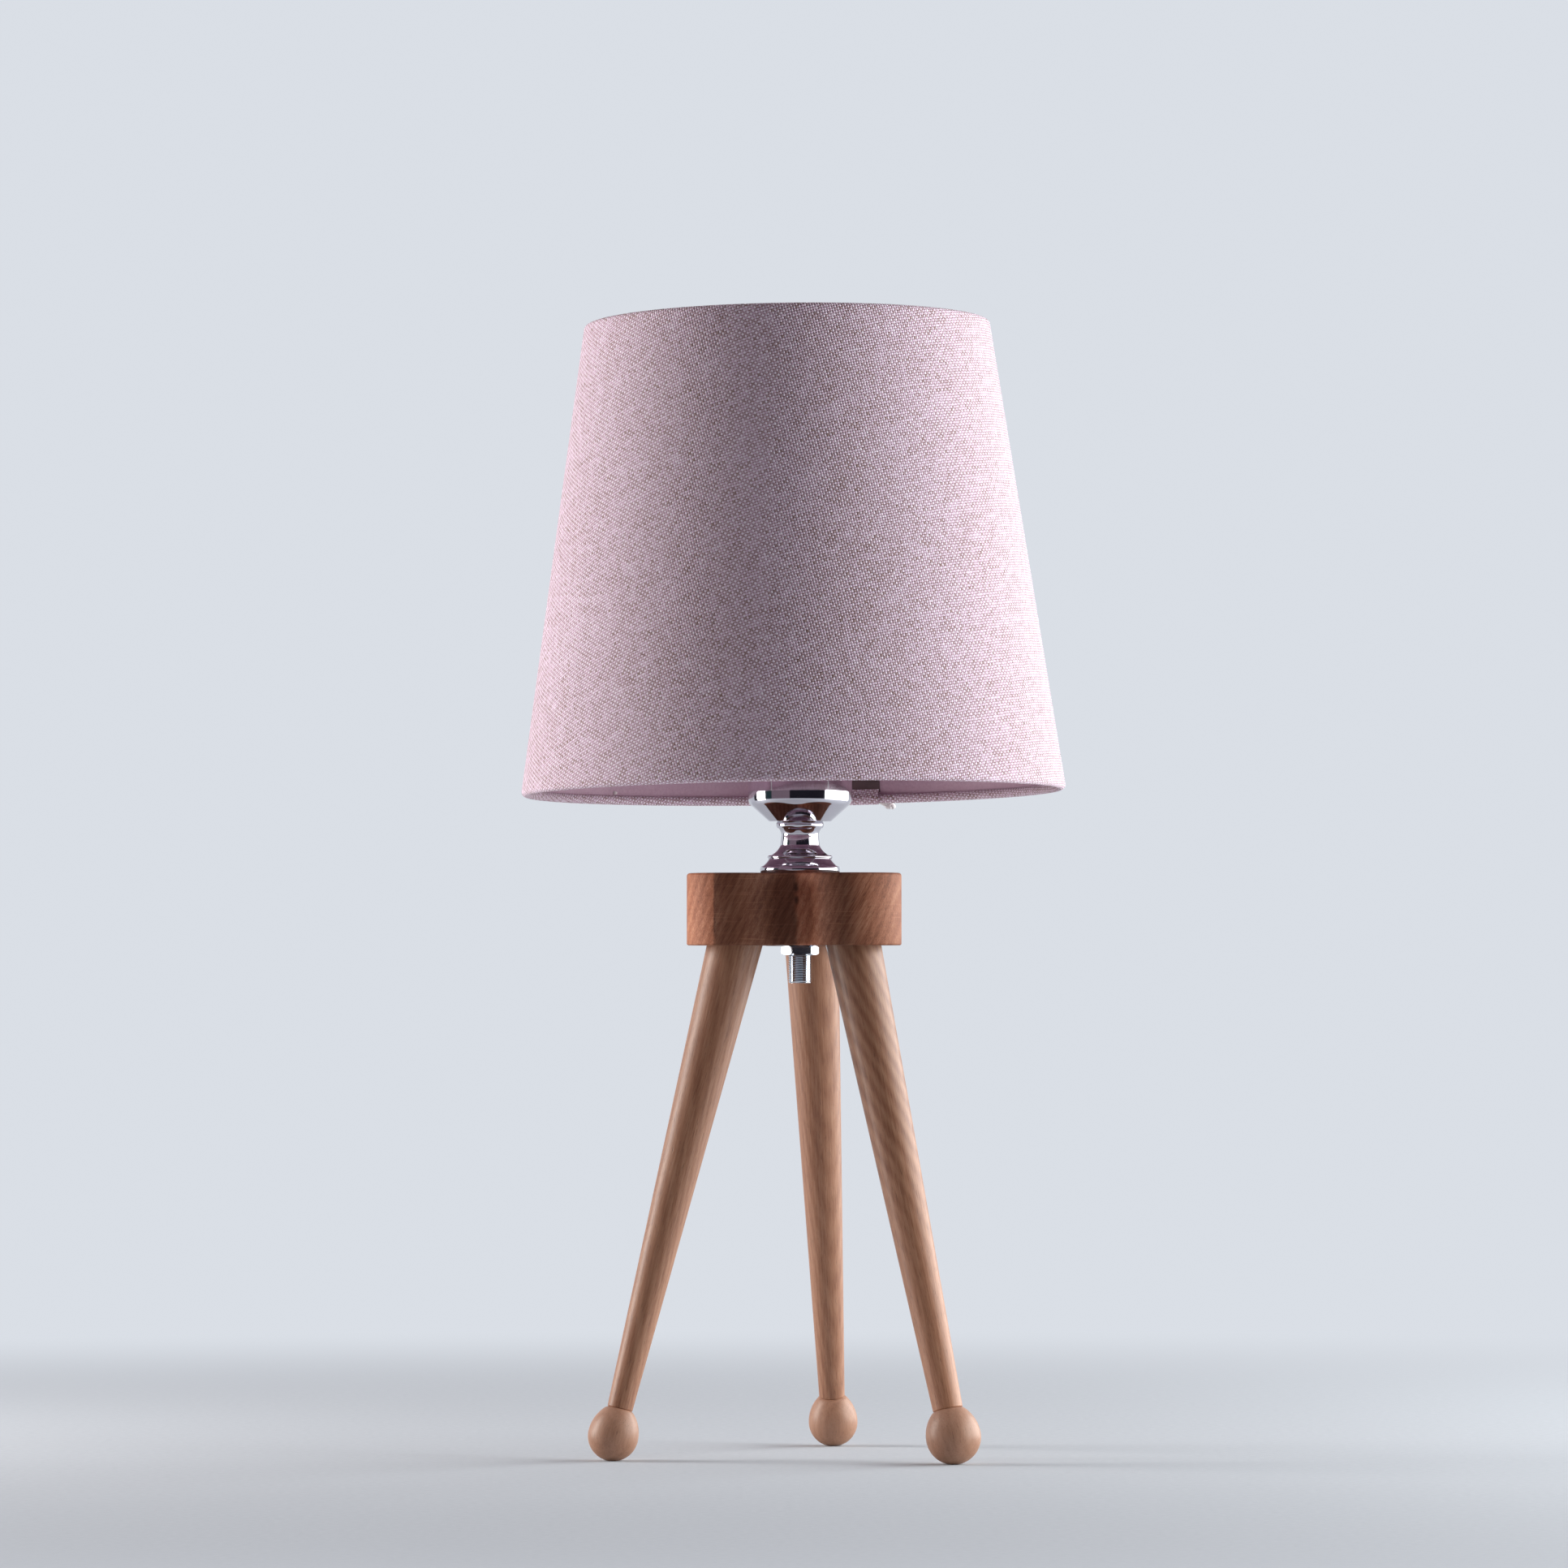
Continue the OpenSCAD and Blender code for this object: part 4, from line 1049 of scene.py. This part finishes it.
def make_fitter():
    """The flat ring round the holder, and the three wire arms that carry the shade."""
    hole_r = sleeve_r + 0.5 * mm
    outline = filleted([
        (hole_r, fitter_low, 0.3 * mm),
        (fitter_r, fitter_low, 0.7 * mm),
        (fitter_r, fitter_high, 0.7 * mm),
        (hole_r, fitter_high, 0.3 * mm),
    ], closed=True)
    ring = turned("fitter_flat_ring", outline, finishes["frame_white"], closed=True, columns=128)
    place(ring, "shade", "frame_white", "fitter_ring")
    wires = joined([tube(arm_path(turn), arm_r) for turn in arm_turns])
    arms = add_mesh("fitter_wire_arms", *wires, finishes["frame_white"])
    place(arms, "shade", "frame_white", "fitter_arms")


# ---- Shade ----
roll_rows, cone_rows = 32, 40
roll_wrap = math.radians(300)
slope_out = Vector((math.cos(shade_slant), math.sin(shade_slant)))
slope_up = Vector((-math.sin(shade_slant), math.cos(shade_slant)))
slope_l = (Vector(top_roll) - Vector(bottom_roll)).length


def roll_point(roll, angle, radius):
    """A point round a roll's centre, at an angle from the shade's outward normal towards its top."""
    return Vector(roll) + (slope_out * math.cos(angle) + slope_up * math.sin(angle)) * radius


def up_slope(up, out):
    """A point by its distances up the slope and outward from the bottom roll's centre."""
    return Vector(bottom_roll) + slope_up * up + slope_out * out


def linen_path():
    """The cloth's outer face in section: round the bottom wire, up the outside, and round the top wire."""
    around = np.linspace(0, roll_wrap, roll_rows)
    path = [roll_point(bottom_roll, a - roll_wrap, hem_r) for a in around]
    foot, head = roll_point(bottom_roll, 0, hem_r), roll_point(top_roll, 0, hem_r)
    path += [foot.lerp(head, i / cone_rows) for i in range(1, cone_rows)]
    path += [roll_point(top_roll, a, hem_r) for a in around]
    return path


def offset_path(path, distance):
    """The path moved to its left by a distance."""
    moved = []
    for i, point in enumerate(path):
        way = (path[min(i + 1, len(path) - 1)] - path[max(i - 1, 0)]).normalized()
        moved.append(point + Vector((-way.y, way.x)) * distance)
    return moved


def run_along(path):
    """Distance along a path to each of its points."""
    return list(np.cumsum([0] + [(b - a).length for a, b in zip(path, path[1:])]))


def slope_steps(end_gap, rows):
    """Even steps up the slope from roll to roll, short of both their centres by a gap."""
    return [end_gap + (slope_l - 2 * end_gap) * i / rows for i in range(rows + 1)]


def arc_turns(middle, width, count=9):
    """Turns across a strip of a width that lies on the shade."""
    half = width / 2 / shade_bottom_r
    return [middle - half + 2 * half * j / (count - 1) for j in range(count)]


def weave_place(turn, along):
    """Where a point of the shade lies on the flat cut, in the directions of the threads."""
    front, thread_turn = math.radians(-90), math.radians(13.8)
    flat_turn = (turn - front) * math.sin(shade_slant)
    radius = apex_run - along
    x, y = radius * math.sin(flat_turn), -radius * math.cos(flat_turn)
    c, s = math.cos(thread_turn), math.sin(thread_turn)
    return x * c + y * s, y * c - x * s


def lay_weave(piece, along, turns, columns):
    """Gives each corner of a piece's faces its place on the flat cut. Rows go round the section."""
    layer = piece.data.uv_layers.new(name="weave")
    for polygon in piece.data.polygons:
        spots = [divmod(v, columns) for v in polygon.vertices]
        sides = {j for _, j in spots}
        closes_ring = {0, columns - 1} <= sides
        for loop, (i, j) in zip(polygon.loop_indices, spots):
            turn = turns[columns] if closes_ring and j == 0 else turns[j]
            layer.data[loop].uv = weave_place(turn, along[i])


def cloth(name, outer, inner, along, turns, material, wrap=False):
    """A closed cloth between two lines of its section, swept through a list of turns.

    Along gives each point of the lines its distance up the flat cut. Wrapped cloth closes into a ring, and
    its list of turns ends where it began.
    """
    columns = len(turns) - 1 if wrap else len(turns)
    section = outer + inner[::-1]
    points = swept(lambda turn: section, turns[:columns])
    faces = grid(len(section), columns, wrap_rows=True, wrap_columns=wrap)
    if not wrap:
        first = tuple(i * columns for i in range(len(section)))
        faces.append(first)
        faces.append(tuple(reversed([k + columns - 1 for k in first])))
    piece = new_piece(name, points, faces, material)
    lay_weave(piece, along + along[::-1], turns, columns)
    clean_mesh(piece.data)
    smooth(piece.data, 50)
    piece.data.transform(shade_pose)
    return piece


def make_shade():
    """The linen with its two rolled edges in one piece, and its seam and lining."""
    outside = linen_path()
    inside = offset_path(outside, linen_t)
    run = run_along(outside)
    along = [d - run[roll_rows - 1] for d in run]
    columns = 360
    turns = [seam_turn - full_turn + full_turn * j / columns for j in range(columns + 1)]
    cover = cloth("linen_shade", outside, inside, along, turns, finishes["linen"], wrap=True)
    place(cover, "shade", "linen", "cover", "bottom_hem", "top_hem")
    make_seam(outside, along)
    make_backing()


def make_seam(outside, along):
    """The lap on the outside, the doubled hem inside it, and a dark strip inside along the seam."""
    lap_t, dark_strip_t = 0.45 * mm, 0.2 * mm
    on_cone = slice(roll_rows - 1, roll_rows + cone_rows)
    under = outside[on_cone]
    face = offset_path(under, -lap_t)
    lap_along = [d + 3 * mm for d in along[on_cone]]
    turns = arc_turns(seam_turn, seam_w)
    lap = cloth("shade_lapped_seam", face, under, lap_along, turns, finishes["linen"])
    place(lap, "shade", "linen", "seam")

    hem_top, wrap_start, wrap_end = 4.4 * mm, math.radians(-218), math.radians(-110)
    outer = [up_slope(hem_top, 0.4 * mm), up_slope(hem_top - 0.8 * mm, 0.35 * mm)]
    outer += [roll_point(bottom_roll, a, hem_r + 0.5 * mm) for a in np.linspace(wrap_start, wrap_end, 12)]
    inner = offset_path(outer, lap_t)
    turns = arc_turns(inner_seam_turn, seam_w + 2 * mm)
    doubled = cloth("shade_hem_lap", outer, inner, run_along(outer), turns, finishes["linen"])
    place(doubled, "shade", "linen")

    # A dark strip inside along the seam, up the lining's full height.
    ups, out = slope_steps(3 * mm, 12), hem_r - linen_t - lining_t
    outer = [up_slope(up, out) for up in ups]
    inner = [up_slope(up, out - dark_strip_t) for up in ups]
    turns = arc_turns(inner_seam_turn, seam_w + 3 * mm)
    dark_strip = cloth("shade_seam_dark_strip", outer, inner, [0] * len(ups), turns, finishes["dark_seam_strip"])
    place(dark_strip, "shade", "lining")


def make_backing():
    """The stiff lining sheet, which reaches behind both rolls."""
    ups, out = slope_steps(1.4 * mm, 24), hem_r - linen_t
    outline = [up_slope(up, out) for up in ups]
    outline += [up_slope(up, out - lining_t) for up in reversed(ups)]
    backing = turned("shade_backing", outline, finishes["lining"], shade_pose, closed=True, columns=240)
    place(backing, "shade", "lining", "lining")


# Dabs of the white tuft at the seam's end: place across and up from it, half length and radius in mm, lean
# in degrees, and a number that makes each dab uneven in its own way.
tuft = (
    (0, 0, 4.2, 1.3, 28, 1),
    (1.8, -0.5, 2.2, 1.5, -15, 3),
    (3.4, -1.6, 2.3, 1.7, 12, 2),
    (4.6, -1.9, 1.5, 1.3, 40, 5),
)


def lump(centre, size, lean=0, phase=0):
    """Points and faces of an uneven dab, by its half sizes in mm, leaned in the plane of X and Z."""
    rows, columns = 12, 20
    turn = Matrix.Rotation(math.radians(lean), 3, "Y")
    points = []
    for i in range(rows + 1):
        a = math.pi * i / rows
        for b in even_turns(columns):
            uneven = 1 + 0.12 * math.sin(3 * b + phase) * math.sin(a) + 0.08 * math.cos(2 * a + phase)
            way = (math.cos(a), math.sin(a) * math.cos(b), math.sin(a) * math.sin(b))
            points.append(centre + turn @ Vector([w * s * mm * uneven for w, s in zip(way, size)]))
    return points, grid(rows + 1, columns)


def make_dabs():
    """Weld lumps at the arms' outer ends, the white tuft at the seam's end, and a dab on the lining."""
    welds = [lump(arm_end(turn), (1.9, 2.0, 1.7), phase=k) for k, turn in enumerate(arm_turns)]
    weld_dabs = add_mesh("arm_weld_dabs", *joined(welds), finishes["frame_white"])
    place(weld_dabs, "shade", "frame_white")
    seam_end = on_shade(bottom_roll[0], math.radians(70), 0.8 * mm)
    wall = on_shade(bottom_roll[0] + 0.4 * mm, math.radians(133), 5.2 * mm)
    dabs = [
        lump(seam_end + Vector((x, 0, z)) * mm, (length, r, r), lean, phase)
        for x, z, length, r, lean, phase in tuft
    ]
    dabs.append(lump(wall, (1.2, 0.6, 0.8), phase=2))
    glue_dabs = add_mesh("glue_dabs", *joined(dabs), finishes["glue"])
    place(glue_dabs, "shade", "frame_white")


# ---- Bulb ----
cap_bore_r = 11 * mm


def make_globe():
    """The opal globe: a shell that widens above its foot and narrows to a rounded tip."""
    globe_low, globe_high = low("bulb_globe").z, high("bulb_globe").z
    foot_r, wide_r, wall = 17.1 * mm, high("bulb_globe").x, 1 * mm
    wide_z = globe_low + 12.5 * mm
    tip = (5 * mm, globe_high - 7.4 * mm)
    outline = [(foot_r - wall, globe_low), (foot_r, globe_low)]
    outline += bowed((foot_r, globe_low + 0.2 * mm), (wide_r, wide_z), 0.35 * mm)[1:]
    outline += bowed((wide_r, wide_z), tip, 4.2 * mm, 30)[1:]
    outline += bowed(tip, (0, globe_high), 1.4 * mm, 12)[1:]
    outline += [
        (0, globe_high - 1.2 * mm),
        (3.6 * mm, tip[1]),
        (15 * mm, globe_low + 0.45 * (globe_high - globe_low)),
        (wide_r - wall, wide_z),
        (foot_r - wall, globe_low),
    ]
    globe = turned("bulb_opal_globe", outline, finishes["bulb_opal"], sharp=60)
    place(globe, "bulb", "bulb_opal", "bulb_globe")


def make_cap():
    """The bulb's screw cap."""
    teeth = (0, 0.15, 0.5, 0.85, 1, 0.85, 0.5, 0.15)
    cap = threaded(
        "bulb_screw_cap", finishes["zinc"], high("bulb_cap").x, cap_bore_r, low("bulb_cap").z,
        high("bulb_cap").z, pitch=3.62 * mm, depth=0.9 * mm, teeth=teeth, columns=72,
    )
    place(cap, "bulb", "zinc", "bulb_cap")


def make_housing():
    """The bulb's white housing: a cone with a lip above the cap and a shallow recess on top."""
    z0, z1 = high("bulb_cap").z, high("bulb_housing").z
    low_r, high_r = 13.5 * mm, high("bulb_housing").x
    plug_l, lip, recess = 1 * mm, 0.2 * mm, 1.2 * mm
    outline = filleted([
        (0, z0 - plug_l, 0),
        (cap_bore_r, z0 - plug_l, 0),
        (cap_bore_r, z0, 0),
        (low_r, z0, 0.5 * mm),
        (low_r + lip, z0 + 2.2 * mm, 0.3 * mm),
        (low_r - lip, z0 + 2.6 * mm, 0.3 * mm),
        (high_r, z1, 0.6 * mm),
        (high_r - 2 * mm, z1, 0),
        (high_r - 3 * mm, z1 - recess, 0),
        (0, z1 - recess, 0),
    ])
    housing = turned("bulb_cooling_housing", outline, finishes["bulb_white"])
    place(housing, "bulb", "bulb_white", "bulb_housing")


# ---- Stage, light and camera ----
backdrop = (0.70, 0.735, 0.79)
soft_level, front_share = 0.29, 0.10
front_tint, back_tint = (1, 0.76, 1), (1, 0.90, 0.93)
floor_half, fade_start, fade_end = 8.0, 0.28, 1.3
card_top, card_steps = 1.4, 12

# Softboxes: turn to the right of the front, distance, width, height, level of light and colour.
softboxes = {
    "right_softbox": (97, 1.15, 1.9, 1.1, 3.15, (0.965, 1.0, 0.985)),
    "left_softbox": (-97, 1.05, 0.49, 0.9, 1.38, (1.0, 0.985, 0.95)),
}
softbox_z, softbox_drop = 0.42, 0.05

# Cards for the reflections: first and last turn to the right of the front, distance and colour.
cards = {
    "dark_card": (-23, 57, 2.0, (0.015, 0.014, 0.02)),
    "mauve_card": (-66, -23, 2.0, (0.22, 0.165, 0.20)),
    "teal_card": (-88, -66, 2.0, (0.025, 0.05, 0.055)),
    "edge_card": (-123, -111.5, 1.2, (0.02, 0.018, 0.022)),
}


def make_world():
    """The backdrop that is seen, and a tinted soft light that comes mostly from behind."""
    maker = Shader("studio", "worlds")
    scene.world = maker.owner
    to_back = maker.part(maker.node("TexCoord", out=0), 1)
    level = maker.range(to_back, -0.6, 0.5, front_share * soft_level, soft_level)
    tint = maker.mix(maker.range(to_back, -0.1, 0.7, 0, 1), front_tint, back_tint)
    lit = maker.node("Background", {"Color": tint, "Strength": level})
    shown = maker.node("Background", {"Color": (*backdrop, 1), "Strength": 1.0})
    mixed = maker.node("MixShader", {0: maker.seen_directly(), 1: lit, 2: shown})
    maker.node("OutputWorld", {"Surface": mixed})


def floor_finish():
    """A pale floor that turns into the backdrop's colour away from the lamp, and is clear from below."""
    shader = Shader("pale_floor")
    spot = shader.object_place()
    away = shader.vector("LENGTH", spot, out=1)
    fade = shader.range(away, fade_start, fade_end, 0, 1, interpolation_type="SMOOTHSTEP")
    tint = shader.ramp(shader.noise(spot, 300, 3), [(0.3, (0.51, 0.54, 0.58)), (0.7, (0.55, 0.58, 0.62))])
    paint = shader.node("BsdfPrincipled", {"Base Color": tint, "Roughness": 0.8, "Specular IOR Level": 0.2})
    share = shader.math("MULTIPLY", fade, shader.seen_directly())
    above = shader.node("MixShader", {0: share, 1: paint, 2: shader.glow(backdrop)})
    from_below = shader.node("NewGeometry", out=6)
    clear = shader.node("BsdfTransparent")
    return shader.output(shader.node("MixShader", {0: from_below, 1: above, 2: clear}))


def make_floor():
    """A wide level floor."""
    half = floor_half
    corners = [(-half, -half, 0), (half, -half, 0), (half, half, 0), (-half, half, 0)]
    new_piece("studio_floor", corners, [(0, 1, 2, 3)], floor_finish())


def from_front(turn, distance, z):
    """A point at a turn in degrees to the right of the front, as the camera sees it."""
    a = math.radians(turn)
    return Vector((distance * math.sin(a), -distance * math.cos(a), z))


def softbox(name, turn, distance, width, height, level, colour):
    """A soft light that lays a given level of light on a white face turned to it."""
    lamp = bpy.data.lights.new(name, "AREA")
    lamp.shape = "RECTANGLE"
    lamp.size = width
    lamp.size_y = height
    lamp.energy = level * math.pi**2 * distance**2
    lamp.color = colour
    made = add_object(name, lamp)
    made.location = from_front(turn, distance, softbox_z)
    aim = Vector((0, 0, softbox_z - softbox_drop)) - made.location
    made.rotation_euler = aim.to_track_quat("-Z", "Y").to_euler()
    made.visible_camera = False


def reflection_card(name, first, last, distance, colour):
    """A curved studio card round the lamp that only shows in reflections."""
    shader = Shader(name)
    turns = [first + (last - first) * j / card_steps for j in range(card_steps + 1)]
    points = [from_front(turn, distance, z) for z in (0, card_top) for turn in turns]
    faces = grid(2, card_steps + 1, wrap_columns=False)
    card = new_piece(name, points, faces, shader.output(shader.glow(colour)))
    card.visible_camera = False
    card.visible_diffuse = False
    card.visible_transmission = False
    card.visible_volume_scatter = False
    card.visible_shadow = False


def make_studio():
    """World, floor, lights and cards."""
    make_world()
    make_floor()
    for name, settings in softboxes.items():
        softbox(name, *settings)
    for name, settings in cards.items():
        reflection_card(name, *settings)


def make_camera():
    """The photo's view: from the front, almost level, with a long lens."""
    lens = bpy.data.cameras.new("view")
    lens.lens = 183.4
    lens.sensor_width = 36
    lens.clip_start, lens.clip_end = 0.05, 60
    camera = add_object("view", lens)
    camera.location = (-0.0069, -3.444, 0.1997)
    camera.rotation_euler = (math.radians(91.496), 0, 0)
    scene.camera = camera
    scene.view_settings.view_transform = "Standard"


make_hub()
for i in range(3):
    make_leg(i)
    make_foot(i)
make_stem()
make_neck()
make_cup()
make_sleeve()
make_collar()
make_fitter()
make_shade()
make_dabs()
make_globe()
make_cap()
make_housing()
make_studio()
make_camera()
